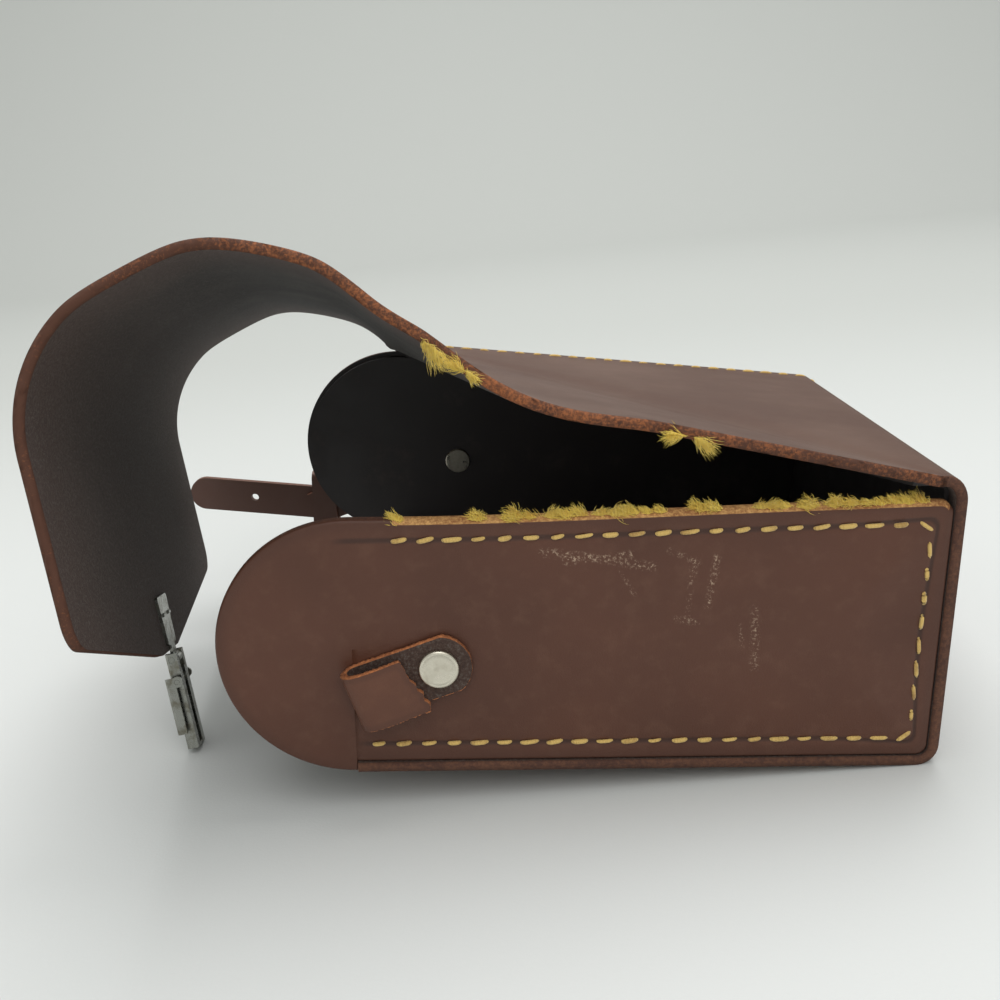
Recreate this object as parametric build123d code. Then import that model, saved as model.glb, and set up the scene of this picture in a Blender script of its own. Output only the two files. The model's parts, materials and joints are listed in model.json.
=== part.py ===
from build123d import *
import os
from math import acos, asin, atan2, cos, degrees, hypot, pi, radians, sin

# Leather case for a small movie camera, lying on its front panel with the lid thrown open.
# It is drawn with X from the round mouth end (0) to the base (length), Y from the near side
# panel's outer face (0) to the far one's (width), and Z up from the front panel. Its pieces are
# then set down as it lies: tilted up on the hasp's tip, with the origin under the middle.

# Case
length = 165.0
width = 140.5
height = 63.7
leather = 2.5
lining = 1.0
panel_leather = 2.6
panel_lining = 2.0
groove = 0.15
base_corner_radius = 5.0

# The old case is out of true: its far side panel stands turned about its lower base corner
twist = 5.0
# The near back seam is torn, so the strip's near top corner stands above the side panel
corner_lift = 6.4
torn_start = 6.5

# Lid, measured with the lid shut round the mouth
lid_clearance = 0.7
fold_gap = 0.4
second_fold_x = 68.2
crown_sweep = 40.5
roll_sweep = 51.9
lid_straight = 39.7
tongue_length = 14.0
tongue_width = 17.0
lid_corner_radius = 7.0
tongue_corner_radius = 3.0

# How far each fold stands open from shut, as the case lies
first_fold_open = 18.8
second_fold_open = 21.9
crown_open = 14.0
roll_open = 9.6
end_open = 14.5

# Rivets of the side tabs
rivet_x = 50.0
rivet_z = 26.9
rivet_cap_radius = 4.5
rivet_cap_height = 1.3
rivet_cap_edge = 0.6
rivet_post_radius = 1.5
rivet_post_fit = 0.05
rivet_back_radius = 4.0
rivet_back_height = 0.9
rivet_back_edge = 0.3

# Side tabs: a strip folded back on itself round a loop
tab_leather = 1.6
tab_width = 13.6
tab_reach = 17.5
tab_loop_radius = 1.7
tab_return = 8.0
tab_drop = 0.6
tab_slope = 20.0
tab_eye_radius = 7.4
tab_clearance = 0.15

# Strap left on the far rivet, in two lengths, and the keeper round both
strap_leather = 2.0
strap_width = 11.0
strap_clearance = 0.3
strap_eye_radius = 6.5
strap_root_length = 53.0
strap_root_slope = 21.0
strap_bow = 2.5
strap_end_length = 51.0
strap_end_slope = 4.5
strap_lap = 9.0
strap_hole_radius = 1.25
strap_hole_fit = 0.2
strap_hole_from_tip = 22.0
keeper_leather = 1.4
keeper_width = 8.0
keeper_height = 18.0
keeper_rise = 1.3
keeper_corner = 2.6

# Hasp on the lid's tongue
hasp_metal = 0.8
hasp_plate_length = 13.0
hasp_plate_width = 10.0
hasp_waist_width = 8.0
hasp_neck_width = 4.0
hasp_plate_corner = 1.0
neck_lap = 1.0
hasp_set_back = 1.5
prong_width = 1.8
prong_thickness = 0.7
prong_spacing = 5.6
prong_from_edge = 9.5
prong_clinch = 0.5
hasp_pin_radius = 0.75
pin_fit = 0.06
knuckle_wall = 0.8
knuckle_reach = 3.8
arm_length = 24.0
arm_width = 8.4
arm_depth = 3.0
arm_lip = 2.75
arm_side_clearance = 0.25
knuckle_clearance = 0.4
lever_width = 12.4
lever_length = 15.0
lever_start = 4.4
lever_pivot = 5.6
lever_depth = 2.6
lever_pin_radius = 0.6
lever_roof_start = 1.8

# Catch on the front panel
catch_from_pin = 15.0
catch_length = 9.0
catch_width = 18.4
catch_corner = 2.0
catch_metal = 0.5
catch_seat = 0.12
staple_length = 6.0
staple_height = 1.6
staple_width = 1.3
catch_rivet_radius = 1.1
catch_rivet_spacing = 13.2
catch_rivet_head = 0.5
catch_head_radius = 1.9
catch_washer_radius = 2.2


# Frames and points of the case

mouth_radius = (height - leather) / 2
strip_start = mouth_radius + 2 * groove
base_turn = Vector(length - base_corner_radius, 0, base_corner_radius)


def turned_side(share):
    """Where a section of the case goes, a share of the way from the near side to the far one."""
    there = Pos(base_turn.X, width * share, base_turn.Z)
    return there * Rot(0, twist * share, 0) * Pos(-base_turn.X, 0, -base_turn.Z)


far_side = turned_side(1)


def far_point(x, z):
    """The place on the far side that x and z name before the case is out of true."""
    return (far_side * Pos(x, 0, z)).position


lid_inner_radius = mouth_radius + lid_clearance
lid_outer_radius = lid_inner_radius + leather
near_centre = Vector(mouth_radius, 0, mouth_radius)
far_centre = far_point(mouth_radius, mouth_radius)
across = (far_centre - near_centre).normalized()
across_run = width / across.Y

# The shut back panel is the plane through the torn corner that touches the lid's round
torn_corner = Vector(length - torn_start, 0, height + corner_lift)
corner_along = torn_corner.X - mouth_radius
corner_above = torn_corner.Z - mouth_radius
corner_reach = hypot(corner_along, corner_above)
lid_slope = atan2(corner_above, corner_along) + acos(lid_outer_radius / corner_reach) - pi / 2
round_out = Vector(-sin(lid_slope), 0, cos(lid_slope))
back_along = Vector(cos(lid_slope), 0, sin(lid_slope))
back_normal = back_along.cross(across).normalized()
near_mouth = near_centre + round_out * lid_outer_radius
far_mouth = near_mouth + across * across_run
fold_share = (second_fold_x - near_mouth.X) / (torn_corner.X - near_mouth.X)
second_fold = near_mouth + (torn_corner - near_mouth) * fold_share
seam_drop = sin(radians(twist)) * (height - base_turn.Z)
seam_end_x = base_turn.X + (far_mouth.X - base_turn.X - seam_drop) / cos(radians(twist))

lid_sweep = 180 - degrees(lid_slope) - twist


def round_point(angle, radius):
    """A point of the shut lid's round, with the angle counted from the back panel."""
    swing = radians(angle)
    return near_centre + round_out * (radius * cos(swing)) - back_along * (radius * sin(swing))


end_swing = radians(lid_sweep)
tongue_along = round_out * -sin(end_swing) - back_along * cos(end_swing)
tongue_out = across.cross(tongue_along).normalized()
tongue_origin = round_point(lid_sweep, lid_outer_radius) + across * (across_run / 2)
tongue_plane = Plane(origin=tongue_origin, x_dir=tongue_along, z_dir=tongue_out)
tongue_tip = lid_straight + tongue_length
arm_pivot_x = tongue_tip + knuckle_reach - hasp_set_back
arm_pivot_z = -leather - hasp_metal / 2
arm_pivot = tongue_plane.from_local_coords(Vector(arm_pivot_x, 0, arm_pivot_z))
pin_across = tongue_plane.y_dir * -1
catch_x = mouth_radius + arm_pivot_x + catch_from_pin

# Each fold of the lid as the shut lid has it: its axis and how far it stands open
lid_folds = [
    (Axis(torn_corner, far_mouth - torn_corner), first_fold_open),
    (Axis(second_fold, far_mouth - second_fold), second_fold_open),
    (Axis(round_point(0, lid_outer_radius), across), crown_open),
    (Axis(round_point(crown_sweep, lid_outer_radius), across), roll_open),
    (Axis(round_point(crown_sweep + roll_sweep, lid_outer_radius), across), end_open),
]


def opened(shape, folds):
    """The shut piece carried to where its folds leave it, the last fold first."""
    for axis, angle in reversed(lid_folds[:folds]):
        shape = shape.rotate(axis, angle)
    return shape


# Leather of the case

def strip_face(top, back_run, outer, thickness):
    """Section of the strip that makes front, base and back, outer deep inside the case's outline."""
    low = outer
    base = length - outer
    high = top - outer
    inner_low = low + thickness
    inner_base = base - thickness
    inner_high = high - thickness
    back_end = length - back_run
    outer_radius = base_corner_radius - outer
    inner_radius = outer_radius - thickness
    outside = FilletPolyline((catch_x, low), (base, low), (base, high), (back_end, high), radius=outer_radius)
    inside = FilletPolyline(
        (catch_x, inner_low), (inner_base, inner_low), (inner_base, inner_high), (back_end, inner_high),
        radius=inner_radius,
    )
    # The front is drawn in two lengths that meet on the line of the catch's rivets
    mouth_end = Polyline((catch_x, low), (strip_start, low), (strip_start, inner_low), (catch_x, inner_low))
    torn_end = Line(outside @ 1, inside @ 1)
    return Plane.XZ * make_face([*outside.edges(), *inside.edges(), *mouth_end.edges(), torn_end.edge()])


def strip_section(share, outer, thickness):
    """The strip's section at a share of the way from the near edge to the far one."""
    clear = fold_gap / 2 * hypot(torn_corner.X - far_mouth.X, width) / width
    near_run = torn_start - clear
    far_run = length - seam_end_x - clear
    back_run = near_run * (1 - share) + far_run * share
    face = strip_face(height + corner_lift * (1 - share), back_run, outer, thickness)
    return turned_side(share) * face


def strip_solid(start, end, outer, thickness):
    """The strip between two shares of the width, as straight rulings."""
    return loft([strip_section(start, outer, thickness), strip_section(end, outer, thickness)], ruled=True)


def core_face(inset):
    """Outline of what the strip goes round: flush at the mouth's round, inset by the strip elsewhere."""
    low = leather + inset
    base = length - leather - inset
    high = height - leather - inset
    radius = mouth_radius - inset
    corner = base_corner_radius - leather
    run = FilletPolyline(
        (mouth_radius + groove, low), (base, low), (base, high), (mouth_radius, high), radius=corner
    )
    half_round = ThreePointArc(
        (mouth_radius, high), (mouth_radius - radius, mouth_radius), (mouth_radius, mouth_radius - radius)
    )
    foot = Line((mouth_radius, mouth_radius - radius), (mouth_radius + groove, mouth_radius - radius))
    step = Line(foot @ 1, run @ 0)
    return Plane.XZ * make_face([*run.edges(), half_round.edge(), foot.edge(), step.edge()])


def slab(start, thickness):
    """A block that takes a slice of the case across its width."""
    return Pos(length / 2, start + thickness / 2, height / 2) * Box(2 * length, thickness, 3 * height)


def core_solid(inset):
    """The whole space inside the strip, from the near face to the far one."""
    return loft([core_face(inset), far_side * core_face(inset)], ruled=True)


def rivet_hole(radius):
    """A hole along Y at the near tab's rivet."""
    return Pos(rivet_x, 0, rivet_z) * Rot(90, 0, 0) * Cylinder(radius, 4 * (panel_leather + panel_lining))


def far_rivet_place():
    """Where the far tab's rivet meets the far panel's outer face."""
    return far_point(rivet_x, rivet_z)


def far_rivet_hole(radius):
    """A hole along Y at the far tab's rivet."""
    place = far_rivet_place()
    return Pos(place.X, width, place.Z) * Rot(90, 0, 0) * Cylinder(radius, 4 * (panel_leather + panel_lining))


def side_panels():
    """Side panels and their linings, each a slice of the core."""
    panel_core = core_solid(groove)
    lining_core = core_solid(groove + lining)
    holes = rivet_post_radius + rivet_post_fit
    near_panel = panel_core & slab(0, panel_leather)
    near_lining = lining_core & slab(panel_leather, panel_lining)
    far_panel = panel_core & slab(width - panel_leather, panel_leather)
    far_lining = lining_core & slab(width - panel_leather - panel_lining, panel_lining)
    return {
        "near_side_panel": near_panel - rivet_hole(holes),
        "near_side_lining": near_lining - rivet_hole(holes),
        "far_side_panel": far_panel - far_rivet_hole(holes),
        "far_side_lining": far_lining - far_rivet_hole(holes),
    }


def strip_pieces():
    """The case's strip, with the holes of its catch, and the thin lining inside it."""
    strip = strip_solid(0, 1, 0, leather)
    side = (panel_leather + panel_lining + groove) / width
    inner = strip_solid(side, 1 - side, leather + groove, lining - groove)
    for hole in catch_bars(catch_rivet_radius + rivet_post_fit, 2 * leather, 2 * leather):
        strip -= hole
        inner -= hole
    return {"case_strip": strip, "strip_lining": inner}


# Lid

def flat_plate(corners):
    """A flat stretch of the shut back panel, short of its folds by half the gap."""
    plane = Plane(origin=near_mouth, x_dir=back_along, z_dir=back_normal)
    flat = [plane.to_local_coords(corner) for corner in corners]
    outline = Polyline(*[(point.X, point.Y) for point in flat], close=True)
    face = offset(make_face(outline.edges()), -fold_gap / 2, kind=Kind.INTERSECTION)
    return extrude(plane * face, -leather)


def round_face(start, end):
    """Section of the shut lid's round between two angles, short of them by half the gap."""
    short = degrees(fold_gap / 2 / lid_outer_radius)
    first = start + short
    sweep = end - start - 2 * short
    outside = CenterArc((0, 0), lid_outer_radius, first, sweep)
    inside = CenterArc((0, 0), lid_inner_radius, first, sweep)
    ends = [Line(outside @ 0, inside @ 0), Line(outside @ 1, inside @ 1)]
    return make_face([outside.edge(), inside.edge(), *[end_line.edge() for end_line in ends]])


def round_plate(start, end):
    """A stretch of the shut lid's round across its whole width."""
    plane = Plane(origin=near_centre, x_dir=round_out, z_dir=(0, -1, 0))
    return extrude(plane * round_face(start, end), across_run, dir=across)


def tongue_room():
    """All that the shut lid's last stretch may fill: broad round the mouth, drawn in to the tongue."""
    near_end = tongue_plane.to_local_coords(round_point(lid_sweep, lid_outer_radius))
    far_end = -near_end
    tip = tongue_width / 2
    corners = [
        (-2 * lid_outer_radius, far_end.Y),
        (lid_straight, far_end.Y),
        (tongue_tip, -tip),
        (tongue_tip, tip),
        (lid_straight, near_end.Y),
        (-2 * lid_outer_radius, near_end.Y),
    ]
    face = make_face(Polyline(*corners, close=True).edges())
    face = fillet(face.vertices().sort_by(Axis.X)[2:4], lid_corner_radius)
    face = fillet(face.vertices().sort_by(Axis.X)[-2:], tongue_corner_radius)
    return extrude(tongue_plane * face, 2 * lid_outer_radius, both=True)


def lid_end():
    """The last stretch of the round and the straight end in one sheet, with the prongs' slots."""
    start = crown_sweep + roll_sweep + degrees(fold_gap / 2 / lid_outer_radius)
    outside = CenterArc((0, 0), lid_outer_radius, start, lid_sweep - start)
    inside = CenterArc((0, 0), lid_inner_radius, start, lid_sweep - start)
    down = Vector(-sin(end_swing), cos(end_swing)) * tongue_tip
    outer_run = Line(outside @ 1, outside @ 1 + down)
    inner_run = Line(inside @ 1, inside @ 1 + down)
    ends = [Line(outside @ 0, inside @ 0), Line(outer_run @ 1, inner_run @ 1)]
    lines = [outside, inside, outer_run, inner_run, *ends]
    plane = Plane(origin=near_centre, x_dir=round_out, z_dir=(0, -1, 0))
    sheet = extrude(plane * make_face([line.edge() for line in lines]), across_run, dir=across)
    return (sheet & tongue_room()) - prongs(groove)


def lid_pieces():
    """The back panel's two torn flats and the three rounds of the lid, all standing open."""
    flap = flat_plate([torn_corner, far_mouth, second_fold])
    root = flat_plate([second_fold, far_mouth, near_mouth])
    return {
        "back_gore": opened(flap, 1),
        "lid_root": opened(root, 2),
        "lid_crown": opened(round_plate(0, crown_sweep), 3),
        "lid_roll": opened(round_plate(crown_sweep, crown_sweep + roll_sweep), 4),
        "lid_end": opened(lid_end(), 5),
    }


# Rivets

def rivet_disc(radius, height, edge):
    """A disc that stands on the plane Z = 0 with its upper edge taken off."""
    disc = Pos(0, 0, height / 2) * Cylinder(radius, height)
    return chamfer(disc.edges().group_by(Axis.Z)[-1], edge)


def rivet_set(grip):
    """Cap, post and back of a double-cap rivet that grips a thickness below Z = 0."""
    cap = rivet_disc(rivet_cap_radius, rivet_cap_height, rivet_cap_edge)
    post = Pos(0, 0, -grip / 2) * Cylinder(rivet_post_radius, grip)
    back = Pos(0, 0, -grip) * Rot(180, 0, 0) * rivet_disc(rivet_back_radius, rivet_back_height, rivet_back_edge)
    return cap, post, back


def side_rivets():
    """The near and far tabs' rivets, each as cap, post and back."""
    layers = panel_leather + panel_lining
    near_stand = tab_leather + tab_clearance
    far_stand = strap_leather + 2 * strap_clearance
    near_place = Pos(rivet_x, -near_stand, rivet_z) * Rot(90, 0, 0)
    place = far_rivet_place()
    far_place = Pos(place.X, width + far_stand, place.Z) * Rot(-90, 0, 0)
    names = ["cap", "post", "back"]
    pieces = {}
    for side, where, stand in (("near", near_place, near_stand), ("far", far_place, far_stand)):
        for name, piece in zip(names, rivet_set(layers + stand)):
            pieces[side + "_rivet_" + name] = where * piece
    return pieces


# Tabs, strap and keeper

def tab_shape():
    """A strip from the rivet at the origin to a loop at -X and back, lying under Z = tab_leather."""
    bend = tab_loop_radius + tab_leather / 2
    middle = Line((0, tab_leather / 2), (-tab_reach + bend, tab_leather / 2))
    turn = ThreePointArc(
        (-tab_reach + bend, tab_leather / 2),
        (-tab_reach, tab_leather / 2 + bend),
        (-tab_reach + bend, tab_leather / 2 + 2 * bend),
    )
    top = tab_leather / 2 + 2 * bend
    back = Line((-tab_reach + bend, top), (-tab_reach + bend + tab_return, top - tab_drop))
    path = Wire([middle.edge(), turn.edge(), back.edge()])
    folded = trace(path, tab_leather)
    strip = extrude(Plane.XZ * folded, tab_width / 2, both=True)
    round_end = Pos(0, 0, tab_leather / 2) * Cylinder(tab_eye_radius, tab_leather)
    hole = Cylinder(rivet_post_radius + pin_fit, 6 * tab_leather)
    return strip + round_end - hole


def strap_place():
    """Frame of the strap: origin at the far rivet on the strap's inner face, Y out, bowed off the case."""
    place = far_rivet_place()
    return Pos(place.X, width + strap_clearance, place.Z) * Rot(0, 0, -strap_bow)


def strap_strip(outline, inner):
    """A flat strip drawn in X and Z and stood on edge, with its inner face that far out."""
    return Pos(0, inner + strap_leather, 0) * extrude(Plane.XZ * outline, strap_leather)


def strap_root():
    """The length that hangs from the rivet, with its eye and a square end."""
    leg = Pos(-strap_root_length / 2, 0) * Rectangle(strap_root_length, strap_width)
    outline = leg + Circle(strap_eye_radius) - Circle(rivet_post_radius + strap_hole_fit)
    return strap_strip(Rot(0, 0, strap_root_slope) * outline, 0)


def lap_place():
    """Where the two lengths of strap lap, in the strap's frame."""
    along = strap_root_length - strap_lap / 2
    slope = radians(strap_root_slope)
    return Vector(-along * cos(slope), 0, -along * sin(slope))


def strap_end():
    """The outer length, with a round tip and a hole, lapped on the root inside the keeper."""
    tip = strap_end_length - strap_lap / 2
    body = Pos(strap_lap / 2 - strap_end_length / 2, 0) * SlotOverall(strap_end_length, strap_width)
    square = Pos(0, 0) * Rectangle(strap_lap, strap_width)
    outline = body + square - Pos(strap_hole_from_tip - tip, 0) * Circle(strap_hole_radius)
    lap = lap_place()
    placed = Pos(lap.X, lap.Z) * Rot(0, 0, -strap_end_slope) * outline
    return strap_strip(placed, strap_leather + strap_clearance)


def strap_keeper():
    """A closed band round both lengths, higher than the strap so that it stands up from it."""
    depth = 2 * strap_leather + 3 * strap_clearance
    outer = RectangleRounded(depth + 2 * keeper_leather, keeper_height + 2 * keeper_leather, keeper_corner)
    inner = RectangleRounded(depth, keeper_height, keeper_corner - keeper_leather)
    band = extrude(Plane.YZ * (outer - inner), keeper_width / 2, both=True)
    lap = lap_place()
    return Pos(lap.X, depth / 2 - strap_clearance, lap.Z + keeper_rise) * band


def tabs_and_strap():
    """The near tab on its rivet, the strap on the far one and the strap's keeper."""
    near = Pos(rivet_x, -tab_clearance, rivet_z) * Rot(90, 0, 0) * Rot(0, 0, tab_slope) * tab_shape()
    frame = strap_place()
    return {
        "near_tab": near,
        "far_strap_root": frame * strap_root(),
        "far_strap_end": frame * strap_end(),
        "strap_keeper": frame * strap_keeper(),
    }


# Hasp

def plate_outline():
    """A T plate that narrows to a waist, in the tongue's plane."""
    start = tongue_tip - hasp_set_back - hasp_plate_length
    end = tongue_tip - hasp_set_back
    wide = hasp_plate_width / 2
    waist = hasp_waist_width / 2
    corners = [(start, -wide), (end, -waist), (end, waist), (start, wide)]
    face = make_face(Polyline(*corners, close=True).edges())
    return fillet(face.vertices(), hasp_plate_corner)


def prongs(clearance):
    """The two prongs that go through the tongue and are clinched on its flesh side."""
    solids = []
    depth = leather + hasp_metal + prong_clinch
    for side in (-1, 1):
        box = Box(prong_thickness + 2 * clearance, prong_width + 2 * clearance, depth + 2 * clearance)
        spot = Pos(tongue_tip - prong_from_edge, side * prong_spacing / 2, -depth / 2)
        solids.append(tongue_plane * spot * box)
    return Compound(solids)


def hasp_outer_plate():
    """The plate on the grain side, with its prongs."""
    plate = extrude(tongue_plane * plate_outline(), hasp_metal)
    return plate + prongs(0)


def knuckle(radius, wide):
    """A round bar across the tongue at the hasp's pin."""
    spot = Pos(arm_pivot_x, 0, arm_pivot_z) * Rot(90, 0, 0)
    return tongue_plane * spot * Cylinder(radius, wide)


def hasp_inner_plate():
    """The plate on the flesh side, whose neck is rolled round the pin."""
    plate = extrude(tongue_plane * Pos(0, 0, -leather - hasp_metal) * plate_outline(), hasp_metal)
    end = tongue_tip - hasp_set_back
    neck_length = arm_pivot_x - end + neck_lap
    neck_middle = end - neck_lap + neck_length / 2
    neck = Pos(neck_middle, 0, arm_pivot_z) * Box(neck_length, hasp_neck_width, hasp_metal)
    ring = knuckle(hasp_pin_radius + pin_fit + knuckle_wall, hasp_neck_width)
    whole = plate + tongue_plane * neck + ring
    return whole - knuckle(hasp_pin_radius + pin_fit, arm_width * 2) - prongs(groove)


def channel(wide, deep, lip, wall):
    """Section of a channel open downwards, with its lips turned in where it has them."""
    half = wide / 2
    outer = Pos(0, -deep / 2) * Rectangle(wide, deep)
    outer = fillet(outer.vertices().group_by(Axis.Y)[-1], wall)
    inner = Pos(0, -deep / 2 - wall / 2) * Rectangle(wide - 2 * wall, deep - wall)
    if lip > wall:
        mouth = Pos(0, -deep + wall / 2) * Rectangle(wide - 2 * lip, 2 * wall)
        inner = Pos(0, -deep / 2) * Rectangle(wide - 2 * wall, deep - 2 * wall) + mouth
    return outer - inner


def hasp_arm():
    """The long channel that swings on the pin and closes over the catch."""
    rear = hasp_pin_radius + knuckle_wall + pin_fit
    top = arm_depth / 2
    section = Plane.YZ * channel(arm_width, arm_depth, arm_lip, hasp_metal)
    tube = extrude(section, arm_length + rear)
    body = Pos(-rear, 0, top) * tube
    neck_room = hasp_neck_width / 2 + arm_side_clearance
    cut = Box(2 * (rear + knuckle_wall + knuckle_clearance), 2 * neck_room, 4 * arm_depth)
    cap_depth = arm_depth - hasp_metal
    cap = Pos(arm_length - hasp_metal / 2, 0, top - hasp_metal - cap_depth / 2)
    closing = cap * Box(hasp_metal, arm_width - 2 * hasp_metal, cap_depth)
    pin_hole = Rot(90, 0, 0) * Cylinder(hasp_pin_radius + pin_fit, 2 * arm_width)
    pivot_hole = Pos(lever_pivot, 0, top - hasp_metal) * Rot(90, 0, 0)
    pivot_cut = pivot_hole * Cylinder(lever_pin_radius + pin_fit, 2 * arm_width)
    return body + closing - cut - pin_hole - Pos(0, 0, -lever_pin_radius * 2) * pivot_cut


def hasp_lever():
    """The wider lever on the arm's outer face, with a wing down each side of the arm."""
    wall = hasp_metal
    section = Plane.YZ * channel(lever_width, lever_depth, 0, wall)
    body = Pos(lever_start, 0, arm_depth / 2 + wall + arm_side_clearance) * extrude(section, lever_length)
    inner_gap = lever_width / 2 - wall - arm_width / 2
    eye_z = arm_depth / 2 - hasp_metal - 2 * lever_pin_radius
    eye = Pos(lever_pivot, 0, eye_z) * Rot(90, 0, 0) * Cylinder(lever_pin_radius + wall, lever_width)
    gap = Box(2 * lever_length, arm_width + 2 * inner_gap, 4 * arm_depth)
    hole = Pos(lever_pivot, 0, eye_z) * Rot(90, 0, 0)
    roof_end = Pos(lever_pivot + lever_roof_start - lever_length, 0, 0)
    turning_room = roof_end * Box(2 * lever_length, lever_width - 2 * wall, 6 * arm_depth)
    return body - turning_room + (eye - gap) - hole * Cylinder(lever_pin_radius + pin_fit, 2 * lever_width)


def hasp_pieces():
    """The hasp's plates, pins, arm and lever, standing as the open lid leaves them."""
    pivot = Plane(origin=arm_pivot, x_dir=tongue_along, z_dir=tongue_out)
    lever_z = arm_depth / 2 - hasp_metal - 2 * lever_pin_radius
    lever_pin = Pos(lever_pivot, 0, lever_z) * Rot(90, 0, 0) * Cylinder(lever_pin_radius, lever_width)
    return {
        "hasp_outer_plate": opened(hasp_outer_plate(), 5),
        "hasp_inner_plate": opened(hasp_inner_plate(), 5),
        "hasp_pin": opened(knuckle(hasp_pin_radius, arm_width), 5),
        "hasp_arm": opened(pivot * hasp_arm(), 5),
        "lever_pin": opened(pivot * lever_pin, 5),
        "hasp_lever": opened(pivot * hasp_lever(), 5),
    }


# Catch

def catch_plane():
    """Plane on the front panel's outer face at the catch, facing down."""
    near_foot = Vector(catch_x, 0, 0)
    far_foot = far_point(catch_x, 0)
    centre = (near_foot + far_foot) / 2
    run = ((Vector(length, 0, 0) + far_point(length, 0)) / 2 - centre).normalized()
    normal = (far_foot - near_foot).cross(run).normalized()
    return Plane(origin=centre, x_dir=run, z_dir=normal)


def catch_bars(radius, above, below):
    """The catch's two rivets as bars, reaching above into the case and below the front panel."""
    bar = Pos(0, 0, (below - above) / 2) * Cylinder(radius, above + below)
    return [catch_plane() * Pos(0, side * catch_rivet_spacing / 2, 0) * bar for side in (-1, 1)]


def catch_pieces():
    """Plate, staple and rivets of the catch that the hasp closes over."""
    plane = catch_plane()
    inside = leather + lining + rivet_post_fit
    outside = catch_seat + catch_metal
    plate = Pos(0, 0, catch_seat + catch_metal / 2) * Box(catch_length, catch_width, catch_metal)
    plate = fillet(plate.edges().filter_by(Axis.Z), catch_corner)
    bar = Pos(0, 0, outside + staple_height / 2) * Box(staple_length, staple_width, staple_height)
    body = plane * (plate + bar)
    hole = rivet_post_fit + catch_rivet_radius
    for opening in catch_bars(hole, inside, outside + catch_rivet_head):
        body -= opening
    rivets = []
    for side, post in zip((-1, 1), catch_bars(catch_rivet_radius, inside, outside)):
        spot = plane * Pos(0, side * catch_rivet_spacing / 2, 0)
        inner = Pos(0, 0, -inside - catch_rivet_head / 2) * Cylinder(catch_washer_radius, catch_rivet_head)
        outer = Pos(0, 0, outside + catch_rivet_head / 2) * Cylinder(catch_head_radius, catch_rivet_head)
        rivets.append(post + spot * inner + spot * outer)
    return {"catch": body, "catch_rivets": Compound(rivets)}


# All pieces

def drawn_pieces():
    """Every piece by its node's name, in the frame of the case."""
    pieces = {}
    pieces.update(strip_pieces())
    pieces.update(side_panels())
    pieces.update(lid_pieces())
    pieces.update(side_rivets())
    pieces.update(tabs_and_strap())
    pieces.update(hasp_pieces())
    pieces.update(catch_pieces())
    return pieces


def set_down(pieces):
    """The move that lays the case on its base's edge and its hasp's tip, with the origin under its middle."""
    tilts = []
    for corner in pieces["hasp_arm"].vertices():
        back = base_turn.X - corner.X
        above = corner.Z - base_turn.Z
        drop = asin(-base_corner_radius / hypot(back, above))
        tilts.append(degrees(drop - atan2(above, back)))
    tilt = Pos(base_turn) * Rot(0, max(tilts), 0) * Pos(-base_turn)
    box = Compound([tilt * piece for piece in pieces.values()]).bounding_box()
    return Pos(-box.center().X, -box.center().Y, 0) * tilt


def all_pieces():
    """Every piece by its node's name, as the case lies on the table."""
    pieces = drawn_pieces()
    move = set_down(pieces)
    return {node: move * piece for node, piece in pieces.items()}


os.makedirs("parts", exist_ok=True)
for node, piece in all_pieces().items():
    export_step(piece, "parts/" + node + ".step")
    print(node, round(piece.volume, 1))
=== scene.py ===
"""Looks of a worn leather case for a small movie camera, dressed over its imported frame.

Case coordinates are the drawing's: X from the round mouth to the base, Y from the near side
panel's outer face, Z up from the front panel. Everything is made in them, in metres, and then
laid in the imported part's frame (the row frame) by the move that its own joints give.
"""
from __future__ import annotations

import json
import logging
import math
from dataclasses import dataclass, field, replace
from enum import Enum

import bpy
import numpy as np
from mathutils import Matrix, Vector

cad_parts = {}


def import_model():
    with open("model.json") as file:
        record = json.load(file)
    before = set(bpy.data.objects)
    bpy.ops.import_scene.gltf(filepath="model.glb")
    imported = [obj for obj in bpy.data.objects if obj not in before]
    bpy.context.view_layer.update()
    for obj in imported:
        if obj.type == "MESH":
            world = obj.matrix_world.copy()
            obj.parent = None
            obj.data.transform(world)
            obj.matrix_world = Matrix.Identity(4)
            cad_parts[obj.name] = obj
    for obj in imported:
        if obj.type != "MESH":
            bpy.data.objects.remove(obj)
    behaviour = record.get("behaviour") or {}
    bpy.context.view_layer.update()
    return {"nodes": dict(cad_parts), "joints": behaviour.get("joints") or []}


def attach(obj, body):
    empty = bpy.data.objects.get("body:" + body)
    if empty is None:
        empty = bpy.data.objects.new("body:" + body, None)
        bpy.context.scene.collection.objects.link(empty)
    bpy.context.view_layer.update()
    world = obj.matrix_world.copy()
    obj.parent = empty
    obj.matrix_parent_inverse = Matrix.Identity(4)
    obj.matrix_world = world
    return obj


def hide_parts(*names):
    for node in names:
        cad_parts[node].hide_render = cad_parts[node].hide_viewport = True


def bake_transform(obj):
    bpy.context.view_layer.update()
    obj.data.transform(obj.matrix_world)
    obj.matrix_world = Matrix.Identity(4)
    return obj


LOG = logging.getLogger("camera_case")
MM = 0.001
STITCH_INSET = 4.6 * MM
RIM_POINTS = 4
RIM_BULGE = 0.22

Socket = bpy.types.NodeSocket
Finish = bpy.types.Material
Piece = bpy.types.Object
Colour = tuple[float, float, float, float]


class Part(Enum):
    """Faces of a leather piece, in the order of its material slots; only the near panel's rim is torn."""

    GRAIN = 0
    RAW = 1
    FLESH = 2
    TORN = 3


class Fold(Enum):
    """Folds of the lid, from the torn corner to its straight end, by the names of their joints."""

    FIRST = "first_fold"
    SECOND = "second_fold"
    CROWN = "crown_fold"
    ROLL = "roll_fold"
    END = "end_fold"


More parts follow.
